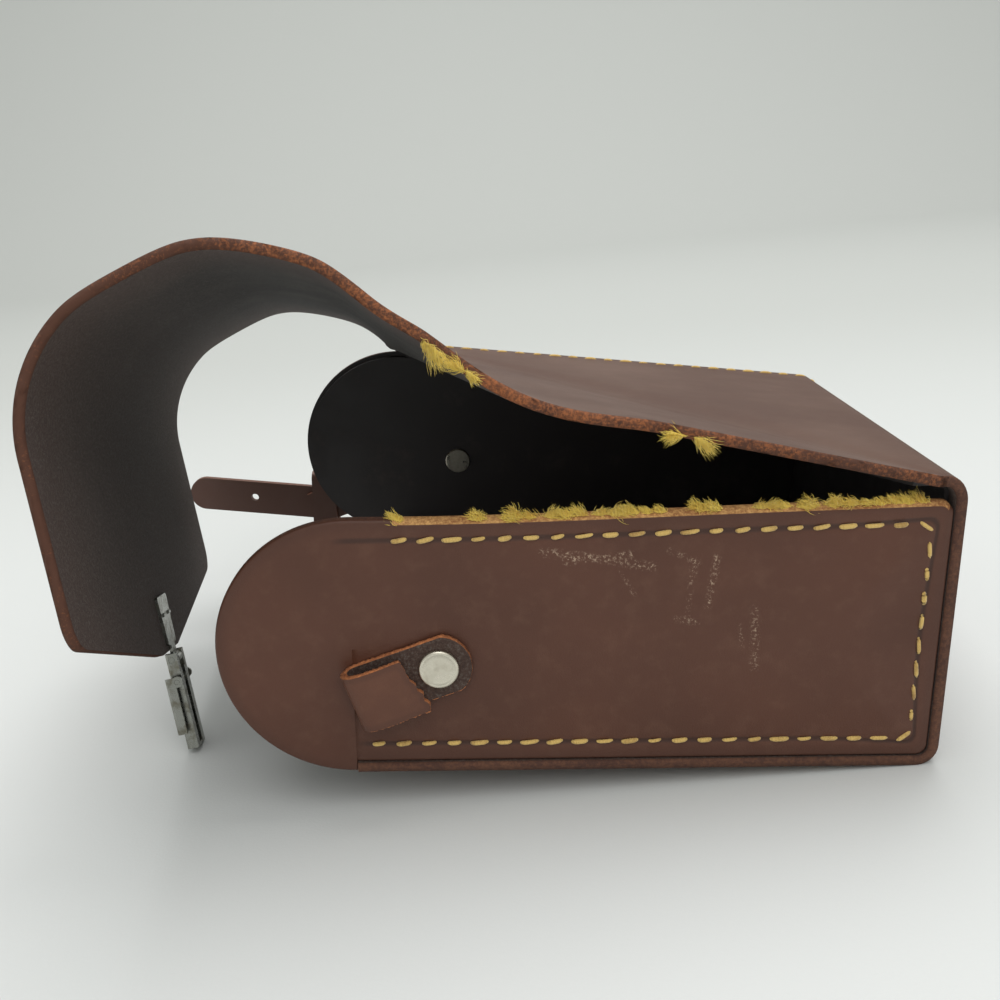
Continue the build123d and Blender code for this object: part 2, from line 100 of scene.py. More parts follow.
def srgb(red: float, green: float, blue: float) -> Colour:
    """Linear colour of a display colour given from 0 to 255.

    Args:
        red, green, blue: the display values.
    Returns:
        Linear red, green and blue, with full alpha.
    """
    levels = np.array([red, green, blue]) / 255
    linear = np.where(levels <= 0.04045, levels / 12.92, ((levels + 0.055) / 1.055) ** 2.4)
    return (float(linear[0]), float(linear[1]), float(linear[2]), 1.0)


def smooth(value: np.ndarray) -> np.ndarray:
    """Ease from 0 to 1: three squares less two cubes of the value, held to 0..1."""
    held = np.clip(value, 0, 1)
    return held * held * (3 - 2 * held)


def after(start: float, end: float, count: int) -> np.ndarray:
    """Evenly spaced values, from the first one after the start to the end."""
    return np.linspace(start, end, count + 1)[1:]


def turned(points: np.ndarray, origin: np.ndarray, axis: np.ndarray, angle: np.ndarray) -> np.ndarray:
    """Points turned about a line, each by its own angle in degrees (Rodrigues' formula).

    Args:
        points: array of points, any shape with 3 last.
        origin: a point on the line.
        axis: unit direction of the line.
        angle: degrees, of the points' shape without the last axis.
    Returns:
        The turned points.
    """
    arm = points - origin
    swing = np.radians(angle)[..., None]
    along = (arm @ axis)[..., None] * axis
    return origin + arm * np.cos(swing) + np.cross(axis, arm) * np.sin(swing) + along * (1 - np.cos(swing))


def unit(vector: np.ndarray) -> np.ndarray:
    """Vectors divided by their lengths."""
    return vector / np.maximum(np.linalg.norm(vector, axis=-1, keepdims=True), 1e-12)


def grid_normals(grid: np.ndarray) -> np.ndarray:
    """Unit normals of a grid of points: rows' difference crossed with columns' difference."""
    return unit(np.cross(np.gradient(grid, axis=0), np.gradient(grid, axis=1)))


class Nodes:
    """Adds shader nodes to one new material and links them."""

    def __init__(self, name: str) -> None:
        """Starts a material with a Principled shader wired to its output.

        Args:
            name: the material's name.
        """
        self.material = bpy.data.materials.new(name)
        self.material.use_nodes = True
        self.tree = self.material.node_tree
        self.tree.nodes.clear()
        self.shader = self.tree.nodes.new("ShaderNodeBsdfPrincipled")
        output = self.tree.nodes.new("ShaderNodeOutputMaterial")
        self.tree.links.new(self.shader.outputs[0], output.inputs[0])

    def put(self, socket: Socket, value: object) -> None:
        """Links a socket to an input, or sets the input's plain value.

        Args:
            socket: the input.
            value: an output socket, a number or a colour.
        """
        if isinstance(value, Socket):
            self.tree.links.new(value, socket)
        else:
            socket.default_value = value

    def set(self, **values: object) -> None:
        """Sets the shader's inputs by name, with underscores for spaces."""
        for name, value in values.items():
            self.put(self.shader.inputs[name.replace("_", " ")], value)

    def place(self) -> Socket:
        """Object coordinates, in metres."""
        return self.tree.nodes.new("ShaderNodeTexCoord").outputs["Object"]

    def attribute(self, name: str) -> Socket:
        """A number stored on the mesh's points.

        Args:
            name: the attribute's name.
        Returns:
            Its value socket.
        """
        node = self.tree.nodes.new("ShaderNodeAttribute")
        node.attribute_name = name
        return node.outputs["Fac"]

    def noise(self, where: object, scale: float, detail: float = 4.0, rough: float = 0.55) -> Socket:
        """A noise value around one half.

        Args:
            where: coordinates.
            scale: features per metre.
            detail: octaves.
            rough: strength of the finer octaves.
        Returns:
            The noise's value socket.
        """
        node = self.tree.nodes.new("ShaderNodeTexNoise")
        self.put(node.inputs["Vector"], where)
        node.inputs["Scale"].default_value = scale
        node.inputs["Detail"].default_value = detail
        node.inputs["Roughness"].default_value = rough
        return node.outputs[0]

    def cells(self, where: object, scale: float) -> Socket:
        """Distance to the nearest cell edge of a Voronoi pattern.

        Args:
            where: coordinates.
            scale: cells per metre.
        Returns:
            The distance socket.
        """
        node = self.tree.nodes.new("ShaderNodeTexVoronoi")
        node.feature = "DISTANCE_TO_EDGE"
        self.put(node.inputs["Vector"], where)
        node.inputs["Scale"].default_value = scale
        return node.outputs["Distance"]

    def stretch(self, where: object, scale: tuple[float, float, float]) -> Socket:
        """Coordinates scaled by a different factor on each axis.

        Args:
            where: coordinates.
            scale: the three factors.
        Returns:
            The scaled coordinates.
        """
        node = self.tree.nodes.new("ShaderNodeMapping")
        self.put(node.inputs["Vector"], where)
        node.inputs["Scale"].default_value = scale
        return node.outputs[0]

    def math(self, kind: str, first: object, second: object = 0.0) -> Socket:
        """One sum on two values, not held to any range.

        Args:
            kind: the sum's name among Blender's math operations.
            first, second: the values.
        Returns:
            The result's socket.
        """
        node = self.tree.nodes.new("ShaderNodeMath")
        node.operation = kind
        self.put(node.inputs[0], first)
        self.put(node.inputs[1], second)
        return node.outputs[0]

    def span(self, value: object, low: float, high: float, start: float = 0.0, end: float = 1.0) -> Socket:
        """A value carried smoothly from one range to another and held there.

        Args:
            value: the value.
            low, high: the range that it comes from.
            start, end: what low and high become.
        Returns:
            The result's socket.
        """
        node = self.tree.nodes.new("ShaderNodeMapRange")
        node.interpolation_type = "SMOOTHSTEP"
        for socket, number in zip(node.inputs[:5], (value, low, high, start, end)):
            self.put(socket, number)
        return node.outputs[0]

    def mix(self, share: object, first: object, second: object) -> Socket:
        """Two colours mixed by a share.

        Args:
            share: 0 for the first colour, 1 for the second.
            first, second: the colours.
        Returns:
            The mixed colour.
        """
        node = self.tree.nodes.new("ShaderNodeMix")
        node.data_type = "RGBA"
        self.put(node.inputs[0], share)
        self.put(node.inputs[6], first)
        self.put(node.inputs[7], second)
        return node.outputs[2]

    def line(self, where: object, start: tuple, end: tuple) -> Socket:
        """Distance from a place to the straight line between two points.

        The place's share of the line is the dot product of its arm and the line over the line's length
        squared, held to 0..1; the distance is from the place to the point at that share.

        Args:
            where: coordinates.
            start, end: the line's two ends.
        Returns:
            The distance socket.
        """
        step = Vector(end) - Vector(start)
        arm = self.vector("SUBTRACT", where, start)
        share = self.math("DIVIDE", self.vector("DOT_PRODUCT", arm, tuple(step)), step.length_squared)
        held = self.math("MINIMUM", self.math("MAXIMUM", share, 0.0), 1.0)
        whole = self.tree.nodes.new("ShaderNodeCombineXYZ")
        for socket in whole.inputs:
            self.put(socket, held)
        foot = self.vector("MULTIPLY", whole.outputs[0], tuple(step))
        return self.vector("LENGTH", self.vector("SUBTRACT", arm, foot), (0, 0, 0))

    def vector(self, kind: str, first: object, second: object) -> Socket:
        """One sum on two vectors.

        Args:
            kind: the sum's name among Blender's vector operations.
            first, second: the vectors.
        Returns:
            The number of a dot product or a length, else the vector.
        """
        node = self.tree.nodes.new("ShaderNodeVectorMath")
        node.operation = kind
        self.put(node.inputs[0], first)
        self.put(node.inputs[1], second)
        return node.outputs["Value" if kind in ("DOT_PRODUCT", "LENGTH") else "Vector"]

    def axis(self, where: object, name: str) -> Socket:
        """One coordinate of a place or direction.

        Args:
            where: the place or direction.
            name: X, Y or Z.
        Returns:
            The coordinate's socket.
        """
        node = self.tree.nodes.new("ShaderNodeSeparateXYZ")
        self.put(node.inputs[0], where)
        return node.outputs[name]

    def facing(self) -> Socket:
        """The surface's direction in the piece's own frame."""
        return self.tree.nodes.new("ShaderNodeTexCoord").outputs["Normal"]

    def bump(self, height: object, depth: float, strength: float = 1.0, under: object = None) -> Socket:
        """A bumped normal.

        Args:
            height: the height value.
            depth: metres that a height of 1 stands for.
            strength: share of the effect.
            under: a normal to add to.
        Returns:
            The normal socket.
        """
        node = self.tree.nodes.new("ShaderNodeBump")
        node.inputs["Strength"].default_value = strength
        node.inputs["Distance"].default_value = depth
        self.put(node.inputs["Height"], height)
        if under is not None:
            self.put(node.inputs["Normal"], under)
        return node.outputs[0]


@dataclass(frozen=True)
class GrainLeather:
    """The smooth outer side: brown, faintly pored, darker by its edges and lightly scratched.

    A panel also has a dark line under its stitches, a groove's width from the edge in its sewn part, and
    long scratches, each a wandering band of worn specks along a straight line.
    """

    name: str
    colour: Colour
    light: Colour
    dark: Colour
    roughness: float = 0.47
    edge_width: float = 3.0 * MM
    groove: float = 0.0
    groove_colour: Colour = srgb(50, 31, 25)
    sewn_from: tuple[float, float] = (-38 * MM, -33 * MM)
    scratches: tuple[tuple, ...] = ()
    scratch_colour: Colour = srgb(186, 160, 136)
    wander: float = 1.6 * MM

    def build(self) -> Finish:
        """Joins the nodes up.

        Returns:
            The material.
        """
        nodes = Nodes(self.name)
        place = nodes.place()
        clouds = nodes.noise(place, 22, 4, 0.5)
        mottle = nodes.noise(place, 240, 4, 0.6)
        tone = nodes.mix(nodes.span(clouds, 0.3, 0.75, 0.3, 1.0), self.dark, self.colour)
        tone = nodes.mix(nodes.span(mottle, 0.45, 0.85, 0.0, 0.14), tone, self.light)
        scratches = nodes.noise(nodes.stretch(place, (30, 30, 420)), 1.0, 6, 0.7)
        tone = nodes.mix(nodes.span(scratches, 0.66, 0.76, 0.0, 0.2), tone, self.light)
        edge = nodes.math("ADD", nodes.attribute("edge"), nodes.math("MULTIPLY", mottle, -1.6 * MM))
        tone = nodes.mix(nodes.span(edge, 0.0, self.edge_width, 0.55, 0.0), tone, self.dark)
        if self.groove:
            off = nodes.math("ABSOLUTE", nodes.math("SUBTRACT", nodes.attribute("edge"), self.groove))
            sewn = nodes.span(nodes.axis(place, "X"), *self.sewn_from)
            line = nodes.math("MULTIPLY", nodes.span(off, 0.2 * MM, 0.9 * MM, 0.65, 0.0), sewn)
            tone = nodes.mix(line, tone, self.groove_colour)
        wander = nodes.noise(place, 160, 3)
        worn = nodes.noise(place, 1500, 4, 0.75)
        level = nodes.stretch(place, (1, 0, 1))
        for start, end, width, strength in self.scratches:
            stray = nodes.math("MULTIPLY", wander, self.wander)
            off = nodes.math("ADD", nodes.line(level, start, end), stray)
            off = nodes.math("ABSOLUTE", nodes.math("SUBTRACT", off, self.wander / 2))
            band = nodes.span(off, 0.0, width, strength, 0.0)
            share = nodes.math("MULTIPLY", band, nodes.span(worn, 0.5, 0.66))
            tone = nodes.mix(share, tone, self.scratch_colour)
        pores = nodes.cells(place, 1500)
        grain = nodes.noise(place, 900, 3, 0.6)
        height = nodes.math("ADD", nodes.span(pores, 0.0, 0.25), nodes.math("MULTIPLY", grain, 1.5))
        normal = nodes.bump(nodes.noise(place, 60, 3), 0.35 * MM, 0.6)
        normal = nodes.bump(height, 0.035 * MM, 0.5, normal)
        nodes.set(Base_Color=tone, Normal=normal, Specular_IOR_Level=0.38)
        nodes.set(Roughness=nodes.span(clouds, 0.3, 0.7, self.roughness + 0.06, self.roughness - 0.05))
        return nodes.material


@dataclass(frozen=True)
class RawEdge:
    """Cut edge of the leather: fibrous specks and patches, from tan to dyed brown.

    The lid's edge is browner towards its end and past the tear, and where its far edge is still sewn.
    """

    name: str
    colour: Colour
    dark: Colour
    browner: bool = False
    lid_end: tuple[float, float] = (-95 * MM, -20 * MM)
    past_tear: tuple[float, float] = (30 * MM, 90 * MM)
    far_edge: tuple[float, float] = (62 * MM, 66 * MM)
    far_seam: tuple[float, float] = (-42 * MM, -34 * MM)
    sewn_colour: Colour = srgb(92, 59, 44)

    def build(self) -> Finish:
        """Joins the nodes up.

        Returns:
            The material.
        """
        nodes = Nodes(self.name)
        place = nodes.place()
        fibre = nodes.noise(place, 1300, 5, 0.8)
        patches = nodes.noise(place, 90, 5, 0.65)
        patch, speck = nodes.span(patches, 0.4, 0.66, 0.0, 0.4), nodes.span(fibre, 0.36, 0.6, 0.0, 0.8)
        share = nodes.math("ADD", patch, speck)
        if self.browner:
            x = nodes.axis(place, "X")
            lid_end = nodes.span(x, *self.lid_end, 0.75, 0.0)
            past_tear = nodes.span(x, *self.past_tear, 0.0, 0.35)
            share = nodes.math("ADD", share, nodes.math("ADD", lid_end, past_tear))
        tone = nodes.mix(share, self.colour, self.dark)
        if self.browner:
            beyond = nodes.span(nodes.axis(place, "Y"), *self.far_edge)
            sewn = nodes.math("MULTIPLY", beyond, nodes.span(x, *self.far_seam))
            tone = nodes.mix(sewn, tone, self.sewn_colour)
        nodes.set(Base_Color=tone, Roughness=0.85)
        nodes.set(Normal=nodes.bump(fibre, 0.25 * MM, 0.8))
        return nodes.material


@dataclass(frozen=True)
class FleshLeather:
    """The inner side of the leather: dark, matt and fuzzy, with pale rubbed patches and nap specks whose
    pale grey is partly a painted sheen, and redder by its edges.
    """

    name: str
    colour: Colour
    worn: Colour
    border: Colour
    pit: Colour = srgb(24, 19, 16)
    lid_end: tuple[float, float] = (-105 * MM, -45 * MM)

    def build(self) -> Finish:
        """Joins the nodes up.

        Returns:
            The material.
        """
        nodes = Nodes(self.name)
        place = nodes.place()
        nap = nodes.noise(place, 1500, 6, 0.85)
        rub = nodes.noise(nodes.stretch(place, (1, 1, 0.4)), 45, 5, 0.65)
        # Rubbed patches take the worn colour. It is real rubbing, made paler than rubbing alone gives as a
        # painted sheen.
        tone = nodes.mix(nodes.span(rub, 0.35, 0.8, 0.0, 0.7), self.colour, self.worn)
        edge = nodes.math("ADD", nodes.attribute("edge"), nodes.math("MULTIPLY", rub, -28 * MM))
        tone = nodes.mix(nodes.span(edge, -10 * MM, 26 * MM, 0.8, 0.0), tone, self.border)
        tone = nodes.mix(nodes.span(nodes.axis(place, "X"), *self.lid_end, 0.85, 0.0), tone, self.border)
        tone = nodes.mix(nodes.span(nap, 0.5, 0.62, 0.0, 0.75), tone, self.worn)
        tone = nodes.mix(nodes.span(nap, 0.4, 0.5, 0.5, 0.0), tone, self.pit)
        nodes.set(Base_Color=tone, Roughness=0.82, Sheen_Weight=0.08, Sheen_Roughness=0.5)
        nodes.set(Normal=nodes.bump(nap, 0.12 * MM, 0.7))
        return nodes.material


@dataclass(frozen=True)
class StrapLeather:
    """A strap's leather on a drawn solid: grain out, flesh in and raw edges, by the way it faces."""

    name: str
    grain: Colour
    flesh: Colour
    raw: Colour
    light: Colour

    def build(self) -> Finish:
        """Joins the nodes up.

        Returns:
            The material.
        """
        nodes = Nodes(self.name)
        place = nodes.place()
        facing = nodes.axis(nodes.facing(), "Y")
        mottle = nodes.noise(place, 260, 5, 0.65)
        fibre = nodes.noise(place, 1100, 5, 0.75)
        grain = nodes.mix(nodes.span(mottle, 0.45, 0.75, 0.0, 0.55), self.grain, self.light)
        raw = nodes.mix(nodes.span(fibre, 0.4, 0.7), self.raw, self.grain)
        tone = nodes.mix(nodes.span(facing, 0.5, 0.75), raw, grain)
        tone = nodes.mix(nodes.span(facing, -0.75, -0.5, 1.0, 0.0), tone, self.flesh)
        nodes.set(Base_Color=tone, Roughness=nodes.span(mottle, 0.3, 0.7, 0.55, 0.42))
        nodes.set(Normal=nodes.bump(fibre, 0.08 * MM, 0.5))
        return nodes.material


@dataclass(frozen=True)
class SmoothLining:
    """Near-black lining with a soft shine and dusty scuffs."""

    name: str
    colour: Colour
    dust: Colour

    def build(self) -> Finish:
        """Joins the nodes up.

        Returns:
            The material.
        """
        nodes = Nodes(self.name)
        place = nodes.place()
        dust = nodes.noise(place, 55, 6, 0.7)
        fine = nodes.noise(place, 1100, 3, 0.6)
        nodes.set(Base_Color=nodes.mix(nodes.span(dust, 0.52, 0.8, 0.0, 0.6), self.colour, self.dust))
        nodes.set(Roughness=nodes.span(dust, 0.4, 0.75, 0.42, 0.62))
        nodes.set(Normal=nodes.bump(fine, 0.03 * MM, 0.5, nodes.bump(dust, 0.4 * MM, 0.5)))
        return nodes.material


@dataclass(frozen=True)
class Nickel:
    """Plated metal, from bright to dull, with fine scratches and darker tarnish."""

    name: str
    colour: Colour
    tarnish: Colour
    roughness: float
    tarnish_share: float

    def build(self) -> Finish:
        """Joins the nodes up.

        Returns:
            The material.
        """
        nodes = Nodes(self.name)
        place = nodes.place()
        blotch = nodes.noise(place, 320, 5, 0.65)
        scratch = nodes.noise(nodes.stretch(place, (3000, 260, 500)), 1.0, 3, 0.6)
        share = nodes.span(blotch, 0.45, 0.7, 0.0, self.tarnish_share)
        nodes.set(Base_Color=nodes.mix(share, self.colour, self.tarnish), Metallic=1.0)
        nodes.set(Roughness=nodes.span(blotch, 0.35, 0.7, self.roughness, self.roughness + 0.16))
        nodes.set(Normal=nodes.bump(scratch, 0.02 * MM, 0.35))
        return nodes.material


@dataclass(frozen=True)
class SewingThread:
    """Waxed ochre thread with its twist across the stitch and some dirt."""

    name: str
    colour: Colour
    dirt: Colour

    def build(self) -> Finish:
        """Joins the nodes up.

        Returns:
            The material.
        """
        nodes = Nodes(self.name)
        place = nodes.place()
        wave = nodes.tree.nodes.new("ShaderNodeTexWave")
        nodes.put(wave.inputs["Vector"], place)
        wave.inputs["Scale"].default_value = 420
        wave.inputs["Distortion"].default_value = 2.0
        grime = nodes.noise(place, 260, 4, 0.6)
        nodes.set(Base_Color=nodes.mix(nodes.span(grime, 0.45, 0.75, 0.0, 0.75), self.colour, self.dirt))
        nodes.set(Roughness=0.7, Sheen_Weight=0.3, Normal=nodes.bump(wave.outputs["Fac"], 0.15 * MM, 0.7))
        return nodes.material


class Finishes:
    """Every material of the case, built once."""

    def __init__(self, scratches: tuple[tuple, ...]) -> None:
        """Builds the materials.

        Args:
            scratches: start, end, width and strength of each long scratch on the near panel.
        """
        brown, light, dark = srgb(92, 56, 41), srgb(136, 102, 82), srgb(77, 47, 35)
        panel = GrainLeather("panel_leather", brown, light, dark, groove=STITCH_INSET, scratches=scratches)
        self.panel = panel.build()
        self.far_panel = replace(panel, name="far_panel_leather", scratches=()).build()
        brown, light, dark = srgb(96, 64, 49), srgb(132, 104, 86), srgb(80, 52, 41)
        self.strip = GrainLeather("strip_leather", brown, light, dark, 0.5).build()
        brown, light, dark = srgb(108, 68, 50), srgb(146, 102, 76), srgb(84, 52, 39)
        self.tab = GrainLeather("tab_leather", brown, light, dark, 0.45, edge_width=1.0 * MM).build()
        grain, flesh, raw, light = srgb(92, 60, 47), srgb(92, 60, 48), srgb(124, 76, 54), srgb(128, 98, 82)
        self.strap = StrapLeather("strap_leather", grain, flesh, raw, light).build()
        # The torn rim's tan is its own colour, made brighter than it is as painted light where the lid keeps
        # the lamps off the rim.
        self.raw_tan_with_painted_light = RawEdge("raw_edge_tan_painted_light", srgb(222, 172, 108), srgb(150, 100, 58)).build()
        self.raw_brown = RawEdge("raw_edge_brown", srgb(110, 72, 52), srgb(76, 48, 38)).build()
        self.raw_orange = RawEdge("raw_edge_orange", srgb(176, 106, 62), srgb(88, 54, 39), True).build()
        self.raw_tab = RawEdge("raw_edge_tab", srgb(206, 130, 78), srgb(140, 82, 50)).build()
        # The flesh's worn grey is rubbed leather, made paler as a painted sheen.
        self.flesh = FleshLeather("flesh_side", srgb(46, 41, 37), srgb(98, 91, 84), srgb(70, 44, 33)).build()
        self.lining = SmoothLining("lining", srgb(58, 53, 53), srgb(98, 88, 82)).build()
        self.rivet = Nickel("rivet_nickel", srgb(214, 208, 192), srgb(160, 150, 128), 0.26, 0.35).build()
        self.hasp = Nickel("hasp_nickel", srgb(146, 147, 141), srgb(92, 82, 58), 0.22, 0.75).build()
        self.thread = SewingThread("ochre_thread", srgb(218, 182, 104), srgb(150, 110, 58)).build()
        # The torn thread's own yellow, brightened past the stitches' thread as painted light to make up for
        # the shade that the fine fibres cast on each other.
        self.fluff_with_painted_light = SewingThread("torn_thread_painted_light", srgb(252, 222, 100), srgb(236, 190, 70)).build()


class Maker:
    """Turns arrays of points and quads into finished objects."""

    @staticmethod
    def mesh(
        name: str,
        points: np.ndarray,
        faces: np.ndarray,
        materials: list[Finish],
        slots: np.ndarray | None = None,
        flat: np.ndarray | None = None,
        edge: np.ndarray | None = None,
        normals: np.ndarray | None = None,
    ) -> Piece:
        """An object from whole arrays.

        Args:
            name: the piece's name.
            points: (n, 3) places in the row frame.
            faces: (m, 4) corners of each quad.
            materials: material slots.
            slots: (m,) slot of each face.
            flat: (m,) true for faces shaded flat.
            edge: (n,) distance of each point to the leather's cut edge, in metres.
            normals: (n, 3) normals for the smooth faces, so that neighbouring pieces shade as one.
        Returns:
            The object, at the origin.
        """
        mesh = bpy.data.meshes.new(name)
        count = len(faces)
        mesh.vertices.add(len(points))
        mesh.vertices.foreach_set("co", points.astype(np.float32).ravel())
        mesh.loops.add(count * 4)
        mesh.loops.foreach_set("vertex_index", faces.astype(np.int32).ravel())
        mesh.polygons.add(count)
        mesh.polygons.foreach_set("loop_start", np.arange(0, count * 4, 4, dtype=np.int32))
        if slots is not None:
            mesh.polygons.foreach_set("material_index", slots.astype(np.int32))
        shade = np.ones(count, bool) if flat is None else ~flat
        mesh.update(calc_edges=True)
        mesh.polygons.foreach_set("use_smooth", shade)
        if edge is not None:
            mesh.attributes.new("edge", "FLOAT", "POINT").data.foreach_set("value", edge.astype(np.float32))
        if normals is not None:
            corner = normals[faces.ravel()]
            a, b, c, d = (points[faces[:, k]] for k in range(4))
            side = np.cross(c - a, d - b)
            corner = np.where(np.repeat(shade, 4)[:, None], corner, np.repeat(unit(side), 4, axis=0))
            mesh.normals_split_custom_set(corner.tolist())
        for material in materials:
            mesh.materials.append(material)
        made = bpy.data.objects.new(name, mesh)
        bpy.context.scene.collection.objects.link(made)
        return made

    @staticmethod
    def quads(rows: int, columns: int, wrap: bool = False, start: int = 0) -> np.ndarray:
        """Corners of the quads of a grid of points kept row by row.

        Args:
            rows: points along the first axis.
            columns: points along the second axis.
            wrap: true where the last column joins the first.
            start: index of the grid's first point.
        Returns:
            (m, 4) corners.
        """
        across = np.arange(columns if wrap else columns - 1)
        row = np.arange(rows - 1)[:, None] * columns
        nxt = (across + 1) % columns
        corners = np.stack([row + across, row + nxt, row + columns + nxt, row + columns + across], axis=-1)
        return corners.reshape(-1, 4) + start

    @classmethod
    def sheet(
        cls,
        name: str,
        top: np.ndarray,
        bottom: np.ndarray,
        materials: list[Finish],
        edge: np.ndarray | None = None,
        normals: np.ndarray | None = None,
        rough: float = 0.0,
    ) -> Piece:
        """A closed sheet of leather between two grids.

        Each row is a loop: the top row, a rounded rim, the bottom row back, and a rounded rim. Rim points
        lie on half an ellipse between the two edges, bulging RIM_BULGE of the half thickness past them,
        and each fibre stands out from it by a random share of rough.

        Args:
            name: the piece's name.
            top: (rows, columns, 3) grain side.
            bottom: the flesh side, same shape.
            materials: as Part orders them.
            edge: (rows, columns) distance to the cut edge.
            normals: (rows, columns, 3) normals of the grain side.
            rough: how far the cut edge's fibres stand out, in metres.
        Returns:
            The object.
        """
        rows, columns = top.shape[:2]
        dice = np.random.default_rng(rows)
        angles = np.linspace(0, math.pi, RIM_POINTS + 2)[1:-1, None]
        if normals is None:
            normals = grid_normals(top)
            normals = normals * np.sign(np.sum(normals * (top - bottom)))

        def rim(first: np.ndarray, last: np.ndarray, beyond: np.ndarray) -> tuple[np.ndarray, np.ndarray]:
            """Points of a rounded rim: half an ellipse from one edge to the other.

            Args:
                first, last: (rows, 3) the two edges.
                beyond: (rows, 3) the way out of the sheet.
            Returns:
                (rows, RIM_POINTS, 3) points and their normals.
            """
            middle, half = ((first + last) / 2)[:, None], ((first - last) / 2)[:, None]
            out = unit(beyond)[:, None]
            bulge = np.linalg.norm(half, axis=-1, keepdims=True) * RIM_BULGE
            points = middle + half * np.cos(angles) + out * bulge * np.sin(angles)
            points = points + out * (dice.normal(0.3, 1.0, points.shape[:2]) * rough)[..., None]
            return points, unit(unit(half) * np.cos(angles) + out * np.sin(angles))

        right, right_normal = rim(top[:, -1], bottom[:, -1], top[:, -1] - top[:, -2])
        left, left_normal = rim(bottom[:, 0], top[:, 0], top[:, 0] - top[:, 1])
        loops = np.concatenate([top, right, bottom[:, ::-1], left], axis=1)
        bent = np.concatenate([normals, right_normal, -normals[:, ::-1], left_normal], axis=1)
        size = loops.shape[1]
        kinds = np.full(size, Part.RAW.value)
        kinds[: columns - 1] = Part.GRAIN.value
        right_top, left_bottom = columns - 1, 2 * columns + RIM_POINTS - 1
        kinds[columns + RIM_POINTS : left_bottom] = Part.FLESH.value
        body = cls.quads(rows, size, wrap=True)
        turn = np.arange(columns - 1)
        back = left_bottom - turn
        across = np.stack([turn + 1, turn, back, back - 1], axis=-1)
        # A rim's four points and its two edges are closed by two quads at each end of the sheet.
        right_end = right_top + np.array([[0, 5, 4, 1], [1, 4, 3, 2]])
        left_end = left_bottom + np.array([[-left_bottom, 4, 1, 0], [4, 3, 2, 1]])
        cap = np.concatenate([across, right_end, left_end])
        faces = np.concatenate([body, cap, cap[:, ::-1] + (rows - 1) * size])
        slots = np.concatenate([np.tile(kinds, rows - 1), np.full(2 * len(cap), Part.RAW.value)])
        flat = np.concatenate([np.zeros(len(body), bool), np.ones(2 * len(cap), bool)])
        distance = None
        if edge is not None:
            zero = np.zeros((rows, RIM_POINTS))
            distance = np.concatenate([edge, zero, edge[:, ::-1], zero], axis=1).ravel()
        shell, bent = loops.reshape(-1, 3), bent.reshape(-1, 3)
        side = np.cross(shell[body[:, 2]] - shell[body[:, 0]], shell[body[:, 3]] - shell[body[:, 1]])
        if np.sum(side * bent[body[:, 0]]) < 0:
            faces = faces[:, ::-1]
        return cls.mesh(name, shell, faces, materials, slots, flat, distance, bent)

    @classmethod
    def lathe(
        cls,
        name: str,
        radii: np.ndarray,
        heights: np.ndarray,
        place: Matrix,
        material: Finish,
        steps: int = 64,
    ) -> Piece:
        """A turned solid: the profile of radius against height swung about Z, then placed.

        Args:
            name: the piece's name.
            radii: the profile's radii, the first and last near zero.
            heights: the profile's heights.
            place: where its own frame goes.
            material: its finish.
            steps: points round.
        Returns:
            The object.
        """
        swing = np.linspace(0, 2 * math.pi, steps, endpoint=False)
        x = radii[:, None] * np.cos(swing)
        y = radii[:, None] * np.sin(swing)
        z = np.repeat(heights[:, None], steps, axis=1)
        points = np.stack([x, y, z], axis=-1).reshape(-1, 3)
        return cls.mesh(name, carried(points, place), cls.quads(len(radii), steps, wrap=True), [material])

    @classmethod
    def tubes(
        cls, name: str, paths: np.ndarray, radii: np.ndarray, material: Finish, sides: int = 8
    ) -> Piece:
        """Many round bars at once: each path of points with a radius at each point.

        Args:
            name: the piece's name.
            paths: (bars, points, 3) centre lines.
            radii: (bars, points) radii, small at the ends.
            material: their finish.
            sides: points round each bar.
        Returns:
            One object that holds them all.
        """
        bars, points = paths.shape[:2]
        along = unit(np.gradient(paths, axis=1))
        helper = np.where(np.abs(along[..., 2:3]) > 0.9, np.array([1.0, 0, 0]), np.array([0, 0, 1.0]))
        side = unit(np.cross(along, helper))
        other = np.cross(along, side)
        swing = np.linspace(0, 2 * math.pi, sides, endpoint=False)
        ring = side[:, :, None] * np.cos(swing)[:, None] + other[:, :, None] * np.sin(swing)[:, None]
        shell = paths[:, :, None] + ring * radii[:, :, None, None]
        one = cls.quads(points, sides, wrap=True)
        offset = (np.arange(bars) * points * sides)[:, None, None]
        return cls.mesh(name, shell.reshape(-1, 3), (one[None] + offset).reshape(-1, 4), [material])


def carried(points: np.ndarray, place: Matrix) -> np.ndarray:
    """Points carried by a 4 by 4 move."""
    move = np.array(place)
    return points @ move[:3, :3].T + move[:3, 3]


